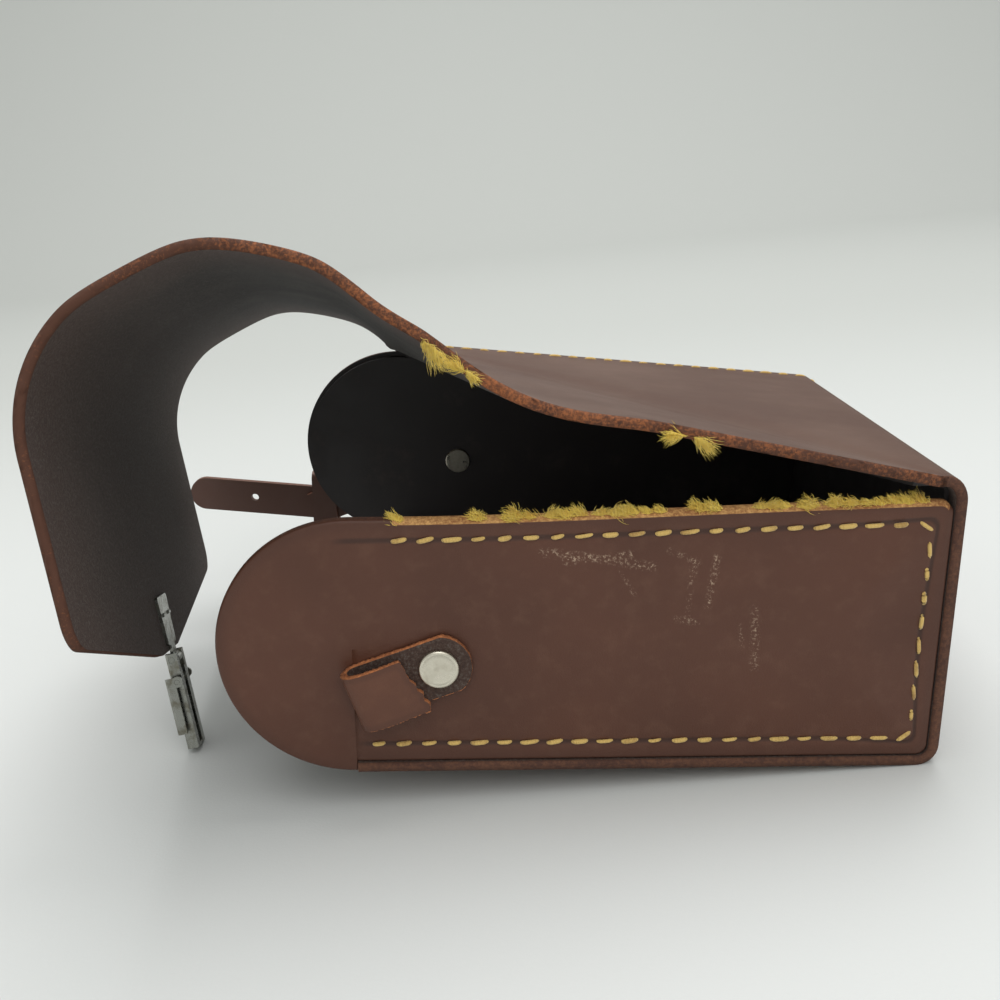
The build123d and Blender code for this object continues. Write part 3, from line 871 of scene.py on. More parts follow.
@dataclass
class CaseShape:
    """Sizes of the case and the lines that its leather follows, as the drawing has them."""

    length: float = 165.0 * MM
    width: float = 140.5 * MM
    height: float = 63.7 * MM
    leather: float = 2.5 * MM
    panel: float = 2.6 * MM
    groove: float = 0.15 * MM
    base_corner: float = 5.0 * MM
    twist: float = 5.0
    corner_lift: float = 6.4 * MM
    torn_start: float = 6.5 * MM
    panel_rise: float = 3.4 * MM
    lid_clearance: float = 0.7 * MM
    second_fold_x: float = 68.2 * MM
    crown_sweep: float = 40.5
    roll_sweep: float = 51.9
    lid_straight: float = 39.7 * MM
    tongue_length: float = 14.0 * MM
    tongue_width: float = 17.0 * MM
    lid_corner: float = 7.0 * MM
    corner_room: float = 8.0 * MM
    panel_rise_start: float = 40.0 * MM
    open_angles: tuple[float, ...] = (18.8, 21.9, 14.0, 9.6, 14.5)
    rivet_x: float = 50.0 * MM
    rivet_z: float = 26.9 * MM
    joints: dict = field(default_factory=dict)

    def __post_init__(self) -> None:
        """Works out the drawing's points and the move into the row frame."""
        self.mouth = (self.height - self.leather) / 2
        self.turn_x = self.length - self.base_corner
        self.lid_outer = self.mouth + self.lid_clearance + self.leather
        self.near_centre = np.array([self.mouth, 0, self.mouth])
        far_centre = self.far(np.array(self.mouth), np.array(self.mouth))
        self.across = unit(far_centre - self.near_centre)
        self.run = self.width / self.across[1]
        self.torn = np.array([self.length - self.torn_start, 0, self.height + self.corner_lift])
        step = self.torn - self.near_centre
        reach = math.hypot(step[0], step[2])
        slope = math.atan2(step[2], step[0]) + math.acos(self.lid_outer / reach) - math.pi / 2
        self.out = np.array([-math.sin(slope), 0, math.cos(slope)])
        self.back = np.array([math.cos(slope), 0, math.sin(slope)])
        self.near_mouth = self.near_centre + self.out * self.lid_outer
        self.far_mouth = self.near_mouth + self.across * self.run
        share = (self.second_fold_x - self.near_mouth[0]) / (self.torn[0] - self.near_mouth[0])
        self.second = self.near_mouth + (self.torn - self.near_mouth) * share
        self.plane_normal = unit(np.cross(self.back, self.across))
        self.sweep = 180 - math.degrees(slope) - self.twist
        self._lay()

    def _lay(self) -> None:
        """Finds the move into the row frame from two joints whose places in the drawing are known."""
        rivet = np.array([self.rivet_x, 0, self.rivet_z])
        laid_rivet = np.array(self.joints["near_tab_swivel"]["pos_m"])
        laid_torn = np.array(self.joints["first_fold"]["pos_m"])
        drawn, laid = self.torn - rivet, laid_torn - laid_rivet
        tilt = math.atan2(drawn[2], drawn[0]) - math.atan2(laid[2], laid[0])
        cosine, sine = math.cos(tilt), math.sin(tilt)
        self.turn = np.array([[cosine, 0, sine], [0, 1, 0], [-sine, 0, cosine]])
        self.shift = laid_rivet - self.turn @ rivet

    def lay(self, points: np.ndarray) -> np.ndarray:
        """Points of the drawing carried into the row frame."""
        return points @ self.turn.T + self.shift

    def matrix(self) -> Matrix:
        """The move into the row frame.

        Returns:
            It as a 4 by 4 matrix.
        """
        whole = np.eye(4)
        whole[:3, :3], whole[:3, 3] = self.turn, self.shift
        return Matrix(whole.tolist())

    def far(self, x: np.ndarray, z: np.ndarray) -> np.ndarray:
        """Places on the far side's outer face, which is turned by the twist about the base's lower corner.

        Args:
            x, z: the places before that turn.
        Returns:
            The turned places, with 3 last.
        """
        swing = math.radians(self.twist)
        dx, dz = x - self.turn_x, z - self.base_corner
        turned_x = self.turn_x + dx * math.cos(swing) + dz * math.sin(swing)
        turned_z = self.base_corner - dx * math.sin(swing) + dz * math.cos(swing)
        return np.stack([turned_x, np.full_like(turned_x, self.width), turned_z], axis=-1)

    def risen(self, x: np.ndarray, z: np.ndarray) -> np.ndarray:
        """Height on the near panel: its torn edge rises by an eased step along x times z's share squared."""
        share = smooth((x - self.panel_rise_start) / (self.length - self.panel_rise_start))
        return z + self.panel_rise * share * np.clip(z / self.height, 0, 1) ** 2


@dataclass
class LeatherStrip:
    """The one strip of leather that makes front, base, back and the curling lid flap.

    Rows run round the strip and columns run from the near edge (0) to the far one (1). Front, base and the
    sewn part of the back lie on straight lines between the two sides' sections. Past the torn line the
    shut lid lies in the plane of the back and then round the mouth, and each fold turns what lies beyond
    it by its open angle, eased in over a band.
    """

    shape: CaseShape
    looks: Finishes
    columns: int = 96
    front_rows: int = 60
    corner_rows: int = 8
    base_rows: int = 25
    sewn_rows: int = 55
    torn_rows: int = 111
    round_rows: int = 99
    straight_rows: int = 23
    tongue_rows: int = 43
    case_end: int = 30
    gore_end: int = 40
    root_end: int = 96
    lift_start: float = 0.55
    pinch: float = 9.0 * MM
    reaches: tuple[float, ...] = (3.0 * MM, 3.0 * MM, 3.5 * MM, 8.0 * MM, 8.0 * MM)
    bands: tuple[float, ...] = (15.0 * MM, 26.0 * MM, 15.0 * MM, 14.0 * MM, 15.0 * MM)
    least_bands: tuple[float, float] = (1.5 * MM, 2.0 * MM)
    box_rough: float = 0.03 * MM
    lid_rough: float = 0.16 * MM

    def _section(self) -> tuple[np.ndarray, np.ndarray]:
        """Front, corner, base and corner: straight runs joined by quarter circles.

        Returns:
            The section's x and z.
        """
        s = self.shape
        front = np.linspace(s.mouth + 2 * s.groove, s.turn_x, self.front_rows)
        bend = after(-math.pi / 2, 0, self.corner_rows)
        rise = after(s.base_corner, s.height - s.base_corner, self.base_rows)
        top = after(0, math.pi / 2, self.corner_rows)
        low, high = s.base_corner, s.height - s.base_corner
        x = np.r_[
            front,
            s.turn_x + s.base_corner * np.cos(bend),
            np.full(rise.size, s.length),
            s.turn_x + s.base_corner * np.cos(top),
        ]
        z = np.r_[
            np.zeros(front.size),
            low + s.base_corner * np.sin(bend),
            rise,
            high + s.base_corner * np.sin(top),
        ]
        return x, z

    def _back_shut(self) -> np.ndarray:
        """The back and the shut lid as far as the mouth.

        Each row runs straight from the near edge to the far seam, seen from above. Past the tear it lies in
        the plane of the back, and before it on the sewn back's straight lines.

        Returns:
            (rows, columns, 3) places.
        """
        s = self.shape
        v = np.linspace(0, 1, self.columns)
        far_start = s.far(np.array(s.turn_x), np.array(s.height))[0]
        far_end = s.far_mouth[0]
        pinch = far_end + self.pinch
        near_sewn = after(s.turn_x, s.torn[0], self.sewn_rows)
        near_x = np.r_[near_sewn, after(s.torn[0], s.near_mouth[0], self.torn_rows)]
        far_x = np.r_[after(far_start, pinch, self.sewn_rows), after(pinch, far_end, self.torn_rows)]
        x = near_x[:, None] * (1 - v) + far_x[:, None] * v
        y = np.repeat(v[None] * s.width, len(near_x), axis=0)
        z = np.where(self._beyond_tear(x, y) > 0, self._plane_z(x, y), self._sewn_z(x, v))
        return np.stack([x, y, z], axis=-1)

    def _beyond_tear(self, x: np.ndarray, y: np.ndarray) -> np.ndarray:
        """Distance past the line from the torn corner to the far end of the mouth, seen from above.

        Args:
            x, y: places.
        Returns:
            The distances, above zero on the mouth's side.
        """
        s = self.shape
        line = unit((s.far_mouth - s.torn)[:2])
        return -((x - s.torn[0]) * line[1] - (y - s.torn[1]) * line[0])

    def _beyond_second(self, x: np.ndarray, y: np.ndarray) -> np.ndarray:
        """Distance past the second fold, seen from above.

        Args:
            x, y: places.
        Returns:
            The distances, above zero on the mouth's side.
        """
        s = self.shape
        line = unit((s.far_mouth - s.second)[:2])
        return -((x - s.second[0]) * line[1] - (y - s.second[1]) * line[0])

    def _plane_z(self, x: np.ndarray, y: np.ndarray) -> np.ndarray:
        """Height of the shut back panel's plane.

        Args:
            x, y: places.
        Returns:
            z there.
        """
        s = self.shape
        n = s.plane_normal
        return s.near_mouth[2] - (n[0] * (x - s.near_mouth[0]) + n[1] * y) / n[2]

    def _sewn_z(self, x: np.ndarray, v: np.ndarray) -> np.ndarray:
        """Height of the sewn part of the back: straight lines from the near edge to the far seam.

        Args:
            x: (rows, columns) places.
            v: (columns,) share of the width.
        Returns:
            z there.
        """
        s = self.shape
        near_top = s.height + s.corner_lift
        far_start = s.far(np.array(s.length), np.array(s.height))[0]
        near_run, far_run = s.torn_start, far_start - s.far_mouth[0]
        start = s.length * (1 - v) + far_start * v
        share = (start - x) / (near_run * (1 - v) + far_run * v)
        far_x = s.length - share * far_run / math.cos(math.radians(s.twist))
        return near_top * (1 - v) + s.far(far_x, np.full_like(far_x, s.height))[..., 2] * v

    def _eased(self, distance: np.ndarray, band: np.ndarray) -> np.ndarray:
        """Share of a fold's turn, from 0 a band before it to 1 a band past it."""
        return smooth(distance / (2 * band) + 0.5)

    def _box(self, v: np.ndarray) -> np.ndarray:
        """Front, base and corners: straight lines across from the near section, its back corner lifted.

        Args:
            v: (columns,) share of the width.
        Returns:
            (rows, columns, 3) places.
        """
        s = self.shape
        x, z = self._section()
        on_base = x > s.turn_x - 1e-6
        lift = np.interp(z, [s.height * self.lift_start, s.height], [0, s.corner_lift]) * on_base
        near = np.stack([x, np.zeros_like(x), z + lift], axis=-1)
        return near[:, None] + (s.far(x, z) - near)[:, None] * v[None, :, None]

    def _bends(self, shut: np.ndarray, past: np.ndarray, v: np.ndarray) -> list[np.ndarray]:
        """Share of each fold's turn at each place of the shut lid.

        The bands in which the folds are eased in narrow towards the far end of the mouth, where they meet.

        Args:
            shut: (rows, columns, 3) places of the shut lid.
            past: (rows,) how far a row lies past the mouth's line, below zero for the back's rows.
            v: (columns,) share of the width.
        Returns:
            One array of rows by columns for each fold.
        """
        s = self.shape
        beyond_mouth = np.repeat(past[:, None], self.columns, axis=1)
        in_plane = beyond_mouth < 0
        first = np.where(in_plane, self._beyond_tear(shut[..., 0], shut[..., 1]), 1.0)
        second = np.where(in_plane, self._beyond_second(shut[..., 0], shut[..., 1]), 1.0)
        mouth_gap = (shut - s.near_mouth) @ unit(np.cross(s.across, s.plane_normal))
        from_mouth = np.where(in_plane, -np.abs(mouth_gap), beyond_mouth)
        crown_end = s.lid_outer * math.radians(s.crown_sweep)
        roll_end = s.lid_outer * math.radians(s.crown_sweep + s.roll_sweep)
        tear_band = self.least_bands[0] + self.bands[0] * np.sin(math.pi * v)[None]
        second_band = self.least_bands[1] + self.bands[1] * (1 - v)[None] ** 0.7
        return [
            self._eased(first, tear_band) * in_plane + (~in_plane),
            self._eased(second, second_band) * in_plane + (~in_plane),
            self._eased(from_mouth, self.bands[2] * (1 - 0.75 * v)[None]),
            self._eased(from_mouth - crown_end, np.array(self.bands[3])),
            self._eased(from_mouth - roll_end, np.array(self.bands[4])),
        ]

    def surface(self) -> tuple[np.ndarray, np.ndarray, dict[str, int]]:
        """The whole strip's grain side at rest, in the row frame.

        The shut lid is the back's rows, a circle round the mouth and a straight end with its tongue; the
        folds then turn it open one after another, the last one first.

        Returns:
            (rows, columns, 3) places, (rows, columns) distance to the cut edge, row numbers by name.
        """
        s = self.shape
        v = np.linspace(0, 1, self.columns)
        box, back = self._box(v), self._back_shut()
        arc = np.radians(after(0, s.sweep, self.round_rows))
        round_near = (
            s.near_centre
            + s.out * (s.lid_outer * np.cos(arc))[:, None]
            - s.back * (s.lid_outer * np.sin(arc))[:, None]
        )
        rounds = round_near[:, None] + s.across * (s.run * v)[None, :, None]
        along = s.out * -math.sin(arc[-1]) - s.back * math.cos(arc[-1])
        tip, corner = s.lid_straight + s.tongue_length, s.lid_straight - s.corner_room
        down = np.r_[after(0, corner, self.straight_rows), after(corner, tip, self.tongue_rows)]
        half = self._half_width(down)
        middle = round_near[-1] + s.across * (s.run / 2)
        lateral = (2 * v - 1)[None] * half[:, None]
        straight = middle + along * down[:, None, None] + s.across * lateral[..., None]
        opened = np.concatenate([back, rounds, straight])
        past = np.r_[np.full(len(back), -1.0), s.lid_outer * arc, s.lid_outer * arc[-1] + down]
        folds = list(zip(Fold, self._bends(opened, past, v), s.open_angles))
        for fold, weight, angle in reversed(folds):
            origin, axis = self._fold(fold)
            opened = turned(opened, origin, axis, weight * angle)
        whole = np.concatenate([box, opened])
        wide = np.r_[np.full(len(box) + len(back) + len(rounds), s.width), 2 * half]
        side = np.minimum(v, 1 - v)[None] * wide[:, None]
        end = np.r_[np.full(len(whole) - len(down), 1.0), tip - down][:, None]
        torn_row, mouth_row = len(box) + self.sewn_rows, len(box) + len(back)
        marks = {
            "case": len(box) + self.case_end,
            "gore": torn_row + self.gore_end,
            "root": torn_row + self.root_end,
            "crown": mouth_row + round(self.round_rows * s.crown_sweep / 2 / s.sweep),
            "roll": mouth_row + round(self.round_rows * (s.crown_sweep + s.roll_sweep / 2) / s.sweep),
            "end": len(whole),
        }
        return s.lay(whole), np.minimum(side, end), marks

    def _half_width(self, down: np.ndarray) -> np.ndarray:
        """Half the lid's width along its straight end: full, then round a corner and in to the tongue.

        Args:
            down: lengths along the straight end.
        Returns:
            Half the width at each.
        """
        s = self.shape
        full, tip = s.run / 2, s.tongue_width / 2
        turn = math.atan2(full - tip, s.tongue_length)
        start = s.lid_straight - s.lid_corner * math.tan(turn / 2)
        angles = np.linspace(0, turn, 12)
        arc_x = start + s.lid_corner * np.sin(angles)
        arc_y = full - s.lid_corner + s.lid_corner * np.cos(angles)
        end_x = s.lid_straight + s.tongue_length
        return np.interp(down, np.r_[0, arc_x, end_x], np.r_[full, arc_y, tip])

    def _fold(self, fold: Fold) -> tuple[np.ndarray, np.ndarray]:
        """Where a fold lies on the shut lid.

        Args:
            fold: the fold.
        Returns:
            A point on it and its direction.
        """
        s = self.shape
        if fold is Fold.FIRST:
            return s.torn, unit(s.far_mouth - s.torn)
        if fold is Fold.SECOND:
            return s.second, unit(s.far_mouth - s.second)
        sweeps = {Fold.CROWN: 0, Fold.ROLL: s.crown_sweep, Fold.END: s.crown_sweep + s.roll_sweep}
        angle = math.radians(sweeps[fold])
        rise, run = s.out * s.lid_outer * math.cos(angle), s.back * s.lid_outer * math.sin(angle)
        return s.near_centre + rise - run, s.across

    def build(self) -> list[Piece]:
        """Makes the strip as pieces that meet in the middle of each CAD plate.

        Returns:
            The pieces, from the box to the lid's end.
        """
        self.top, edge, self.marks = self.surface()
        normal = grid_normals(self.top)
        # The front panel lies on the table, so its grain side faces down.
        self.normal = -normal if normal[self.front_rows // 2, self.columns // 2, 2] > 0 else normal
        bottom = self.top - self.normal * self.shape.leather
        stops = [0, *self.marks.values()]
        names = ("strip_box", "strip_tear", "strip_bend", "lid_crown_skin", "lid_roll_skin", "lid_end_skin")
        nodes = ("case_strip", "back_gore", "lid_root", "lid_crown", "lid_roll", "lid_end")
        looks = self.looks
        made = []
        for index, (name, node, first, last) in enumerate(zip(names, nodes, stops, stops[1:])):
            on_case = index == 0
            rows = slice(first, last + (0 if last == len(self.top) else 1))
            materials = [looks.strip, looks.raw_brown if on_case else looks.raw_orange, looks.flesh]
            rough = self.box_rough if on_case else self.lid_rough
            grain, normals = self.top[rows], self.normal[rows]
            piece = Maker.sheet(name, grain, bottom[rows], materials, edge[rows], normals, rough)
            if on_case:
                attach(piece, "case")
            else:
                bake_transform(piece)
            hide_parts(node)
            made.append(piece)
        return made


@dataclass
class SidePanel:
    """A side panel: square at the base, half round at the mouth, with a lightly crowned face.

    The face is a fan of lines from the outline to the panel's middle line, so a place on it is the
    outline's point moved towards the middle line by an inset, given in millimetres. The face stands out
    by the crown, eased in from the rim, and dips along the row of stitches.
    """

    shape: CaseShape
    looks: Finishes
    crown: float = 1.2 * MM
    far_crown: float = 0.5 * MM
    crown_reach: float = 26.0 * MM
    stitch_dip: float = 0.3 * MM
    dip_width: float = 0.55 * MM
    sewn_start: float = 31.0 * MM
    sewn_ease: float = 5.0 * MM
    rivet_flat: float = 10.0 * MM
    rivet_ease: float = 24.0 * MM
    rim_round: float = 0.8 * MM
    bevel: float = 1.1 * MM
    torn_start: float = 41.0 * MM
    torn_depth: float = 1.2 * MM
    bevel_rings: int = 4
    middle_depth: float = 30.0 * MM
    middle_rise: float = 0.4 * MM
    side_points: int = 80
    corner_points: int = 8
    base_points: int = 34
    mouth_points: int = 70
    rim_insets: tuple[float, ...] = (0, 0.12, 0.3, 0.6, 1.1, 1.8, 2.8)
    stitch_insets: tuple[float, ...] = (3.8, 4.2, 4.6, 5.0, 5.4, 6.2)
    face_insets: tuple[float, ...] = (8, 10.5, 14, 18, 22, 26)

    def outline(self) -> np.ndarray:
        """The outline: along the bottom from the strip's start, up the base, back along the top, the mouth.

        Returns:
            (points, 2) its x and z.
        """
        s = self.shape
        inset = s.leather + s.groove
        radius = s.base_corner - s.leather
        low, high, base = inset, s.height - inset, s.length - inset
        bottom = np.linspace(s.mouth + s.groove, base - radius, self.side_points)
        bend = np.linspace(-math.pi / 2, 0, self.corner_points)[1:-1]
        rise = np.linspace(low + radius, high - radius, self.base_points)
        top = np.linspace(base - radius, s.mouth, self.side_points)
        mouth = np.linspace(math.pi / 2, 3 * math.pi / 2, self.mouth_points)[1:]
        round_radius = s.mouth - s.groove
        x = np.r_[
            bottom,
            base - radius + radius * np.cos(bend),
            np.full(rise.size, base),
            base - radius + radius * np.cos(bend + math.pi / 2),
            top,
            s.mouth + round_radius * np.cos(mouth),
            s.mouth + s.groove,
        ]
        z = np.r_[
            np.full(bottom.size, low),
            low + radius + radius * np.sin(bend),
            rise,
            high - radius + radius * np.sin(bend + math.pi / 2),
            np.full(top.size, high),
            s.mouth + round_radius * np.sin(mouth),
            s.mouth - round_radius,
        ]
        return np.stack([x, z], axis=-1)

    def _stand(self, face: np.ndarray, depth: np.ndarray, rim: np.ndarray, far: bool) -> np.ndarray:
        """How far each place of a panel's face stands out.

        The crown is an eased step of the depth, eased away round the rivet. Off it come a round rim, a
        bell-shaped dip along the sewn part, and on the near panel the bevel of the torn rim.

        Args:
            face: (rings, points, 2) the face's places, from the rim inwards.
            depth: (rings,) inset of each ring.
            rim: (points, 2) the outline.
            far: true for the far panel.
        Returns:
            (rings, points) heights.
        """
        s = self.shape
        crown = (self.far_crown if far else self.crown) * smooth(depth / self.crown_reach)
        short = 1 - np.clip(depth / self.rim_round, 0, 1)
        rounding = self.rim_round * (1 - np.sqrt(np.clip(1 - short**2, 0, 1)))
        away = np.linalg.norm(face - np.array([s.rivet_x, s.rivet_z]), axis=-1)
        dip = self.stitch_dip * np.exp(-(((depth - STITCH_INSET) / self.dip_width) ** 2))
        sewn = smooth((rim[:, 0] - self.sewn_start) / self.sewn_ease)
        beside = smooth((away - self.rivet_flat) / self.rivet_ease)
        out = crown[:, None] * beside - rounding[:, None] - dip[:, None] * sewn
        if not far:
            out[:, self._torn(rim)] -= (self.bevel * np.clip(1 - depth / self.bevel, 0, 1))[:, None]
        return out

    def _torn(self, rim: np.ndarray) -> np.ndarray:
        """Which of the outline's points lie on the torn upper edge.

        Args:
            rim: (points, 2) the outline.
        Returns:
            Their numbers.
        """
        s = self.shape
        high = rim[:, 1] > s.height - s.leather - self.torn_depth
        return np.flatnonzero(high & (rim[:, 0] > self.torn_start))

    def build(self, name: str, far: bool) -> Piece:
        """Makes one panel.

        Args:
            name: the piece's name.
            far: true for the panel on the far side.
        Returns:
            The object, riding on the case.
        """
        s, looks = self.shape, self.looks
        rim = self.outline()
        points = len(rim)
        middle_x = np.clip(rim[:, 0], s.mouth, s.length - s.mouth)
        middle = np.stack([middle_x, np.full(points, s.mouth + self.middle_rise)], axis=-1)
        insets = np.array(self.rim_insets + self.stitch_insets + self.face_insets) * MM
        share = np.clip(insets[:, None] / np.linalg.norm(rim - middle, axis=-1), 0, 1)
        share = np.concatenate([share, np.ones((1, points))])
        face = rim[None] + (middle - rim)[None] * share[..., None]
        depth = np.r_[insets, self.middle_depth]
        out = self._stand(face, depth, rim, far)
        back = np.concatenate([rim[None], (rim[None] + (middle - rim)[None] * 0.5), middle[None]])
        x = np.concatenate([face[::-1, :, 0], back[..., 0]])
        z = np.concatenate([face[::-1, :, 1], back[..., 1]])
        level = np.concatenate([out[::-1], np.full((len(back), points), -s.panel)])
        edge = np.concatenate([np.repeat(depth[::-1, None], points, axis=1), np.zeros((len(back), points))])
        if far:
            places = s.far(x, z)
            places[..., 1] += level
        else:
            places = np.stack([x, -level, s.risen(x, z)], axis=-1)
        faces = Maker.quads(x.shape[0], x.shape[1], wrap=True)
        front = (len(face) - 1) * points
        slots = np.full(len(faces), Part.GRAIN.value)
        slots[front : front + points] = Part.RAW.value
        slots[front + points :] = Part.FLESH.value
        if far:
            faces = faces[:, ::-1]
        else:
            torn_rows = np.arange(len(face) - 1 - self.bevel_rings, len(face))
            slots[(torn_rows[:, None] * points + self._torn(rim)).ravel()] = Part.TORN.value
        flat = np.arange(len(faces)) >= front
        grain = looks.far_panel if far else looks.panel
        materials = [grain, looks.raw_brown, looks.lining, looks.raw_tan_with_painted_light]
        piece = Maker.mesh(name, s.lay(places.reshape(-1, 3)), faces, materials, slots, flat, edge.ravel())
        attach(piece, "case")
        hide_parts("far_side_panel" if far else "near_side_panel")
        return piece

    def height_at(self, inset: float) -> float:
        """How far the near panel's sewn face stands out at an inset from the rim."""
        return float(self.crown * smooth(np.array(inset / self.crown_reach)) - self.stitch_dip)


@dataclass
class Stitching:
    """Rows of ochre box stitches on both side panels, and what is left of the torn seam."""

    shape: CaseShape
    looks: Finishes
    panel: SidePanel
    pitch: float = 5.75 * MM
    stitch: float = 4.3 * MM
    thickness: float = 0.52 * MM
    bottom_start: float = 33.0 * MM
    top_end: float = 41.0 * MM
    corner: float = 2.5 * MM
    far_sunk: float = 0.05 * MM
    outer_sunk: float = 0.35 * MM
    outer_start: int = 3
    near_outer_less: int = 5
    far_outer_more: int = 60
    outer_column: int = 2
    outer_seed: int = 40
    near_seed: int = 7
    far_seed: int = 11
    fibres: int = 210
    fibre_points: int = 9
    fibre_radius: float = 0.055 * MM
    rim_sunk: float = 0.45 * MM
    rim_inset: float = 1.2 * MM

    def _row(self) -> np.ndarray:
        """The row of stitches on a panel: along the bottom, base and top, with rounded corners.

        Returns:
            (points, 2) its x and z.
        """
        s = self.shape
        inset = s.leather + s.groove + STITCH_INSET
        low, high, base = inset, s.height - inset, s.length - inset
        bend = np.linspace(0, math.pi / 2, 7)
        corner, turn = self.corner, base - self.corner
        round_x = np.r_[turn + corner * np.sin(bend), turn + corner * np.cos(bend)]
        x = np.r_[self.bottom_start, round_x, self.top_end]
        z = np.r_[low, low + corner - corner * np.cos(bend), high - corner + corner * np.sin(bend), high]
        spots = np.stack([x, z], axis=-1)
        runs = [np.linspace(a, b, 9)[:-1] for a, b in zip(spots[:-1], spots[1:])]
        return np.concatenate([*runs, spots[-1:]])

    def _bars(self, name: str, path: np.ndarray, out: np.ndarray, seed: int, sunk: float = 0.0) -> Piece:
        """Makes stitches along a path: short thick bars whose ends dive into the leather.

        Args:
            name: the piece's name.
            path: (n, 3) the row's places on the leather, in the row frame.
            out: (n, 3) the leather's outward direction there.
            seed: start of the random draws.
            sunk: how much deeper than usual the bars lie.
        Returns:
            The object, riding on the case.
        """
        dice = np.random.default_rng(seed)
        length = np.r_[0, np.cumsum(np.linalg.norm(np.diff(path, axis=0), axis=1))]
        spots = np.arange(self.pitch / 2, length[-1], self.pitch)
        count = len(spots)

        def at(values: np.ndarray, where: np.ndarray) -> np.ndarray:
            """Values of the row at lengths along it."""
            return np.stack([np.interp(where, length, values[:, k]) for k in range(3)], axis=-1)

        up = unit(at(out, spots))
        along = unit(at(path, spots + self.stitch / 2) - at(path, spots - self.stitch / 2))
        slant = np.radians(dice.normal(7, 3.5, count))[:, None]
        turn = along * np.cos(slant) + np.cross(up, along) * np.sin(slant)
        size = self.stitch / 2 * dice.uniform(0.66, 1.1, count)
        reach = np.linspace(-1, 1, 11)
        level = self.thickness * (0.72 - 1.6 * reach**4) - sunk
        points = at(path, spots)[:, None] + turn[:, None] * (reach[None, :, None] * size[:, None, None])
        points = points + up[:, None] * level[None, :, None]
        taper = np.sqrt(np.clip(1.02 - reach**4, 0, 1))
        radius = self.thickness * taper * dice.uniform(0.78, 1.15, (count, 1))
        piece = Maker.tubes(name, points, radius, self.looks.thread, sides=10)
        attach(piece, "case")
        return piece

    def build(self, name: str, far: bool) -> Piece:
        """Makes the stitches of one panel.

        Args:
            name: the piece's name.
            far: true for the far panel.
        Returns:
            The object, riding on the case.
        """
        s = self.shape
        row = self._row()
        x, z = row[:, 0], row[:, 1]
        level = self.panel.height_at(STITCH_INSET) - (self.far_sunk if far else 0.0)
        if far:
            points = s.far(x, z)
            points[:, 1] += level
        else:
            points = np.stack([x, np.full(len(row), -level), s.risen(x, z)], axis=-1)
        laid = s.lay(points)
        out = np.tile(s.turn @ np.array([0, 1.0 if far else -1.0, 0]), (len(row), 1))
        return self._bars(name, laid, out, self.far_seed if far else self.near_seed)

    def outer(self, name: str, strip: LeatherStrip, far: bool) -> Piece:
        """Makes the stitches that come out on the strip, along the line of points beside one of its edges.

        The near row ends below the base's torn corner, and the far one goes on along the back.

        Args:
            name: the piece's name.
            strip: the built strip.
            far: true for the far edge.
        Returns:
            The object, riding on the case.
        """
        if far:
            last, column = strip.marks["case"] + self.far_outer_more, strip.columns - 1 - self.outer_column
        else:
            sewn = strip.front_rows + strip.corner_rows + strip.base_rows
            last, column = sewn - self.near_outer_less, self.outer_column
        path = strip.top[self.outer_start : last, column]
        out = strip.normal[self.outer_start : last, column]
        return self._bars(name, path, out, self.outer_seed + column, self.outer_sunk)

    def wool(
        self,
        name: str,
        spots: np.ndarray,
        along: np.ndarray,
        up: np.ndarray,
        body: str,
        seed: int,
        length: float = 1.0,
    ) -> Piece:
        """Torn thread ends as woolly clumps.

        Each clump is combed one way along the edge. A fibre starts by the clump's spot, runs off in the
        clump's way with a lean of its own, and winds round in a small circle as it goes.

        Args:
            name: the piece's name.
            spots: (n, 3) middles of the clumps, in the row frame.
            along: direction in which a clump is spread.
            up: direction in which it stands.
            body: the body that it rides on.
            seed: start of the random draws.
            length: how much longer than usual the fibres are.
        Returns:
            The object.
        """
        dice = np.random.default_rng(seed)
        count = self.fibres
        along, up = unit(along), unit(up)
        side = np.cross(along, up)
        clumps = len(spots)
        comb = along * dice.choice([-1.0, 1.0], (clumps, 1)) + up * dice.uniform(-0.05, 0.35, (clumps, 1))
        comb = np.repeat(unit(comb + side * dice.normal(0, 0.25, (clumps, 1))), count, axis=0)
        size = np.repeat(dice.uniform(0.7, 1.3, clumps), count)[:, None]
        total = clumps * count
        start = np.repeat(spots, count, axis=0) + along * dice.normal(0, 0.5, (total, 1)) * MM
        start = start + side * dice.normal(0, 0.35, (total, 1)) * MM
        lean = unit(comb + dice.normal(0, 0.27, (total, 3)) + up * dice.uniform(0, 0.3, (total, 1)))
        first = unit(np.cross(lean, dice.normal(0, 1, (total, 3))))
        second = np.cross(lean, first)
        t = np.linspace(0, 1, self.fibre_points)
        swing = 2 * math.pi * dice.uniform(0.2, 1.3, (total, 1)) * t
        wide = dice.uniform(0.05, 0.42, (total, 1)) * MM * size
        reach = dice.uniform(0.8, 3.4, (total, 1)) * MM * size * length
        path = start[:, None] + lean[:, None] * (reach * t)[..., None]
        path = path + first[:, None] * (wide * (np.cos(swing) - 1))[..., None]
        path = path + second[:, None] * (wide * np.sin(swing))[..., None]
        radius = np.repeat((self.fibre_radius * np.sqrt(1.02 - t**4))[None], total, axis=0)
        piece = Maker.tubes(name, path, radius, self.looks.fluff_with_painted_light, sides=3)
        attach(piece, body)
        return piece

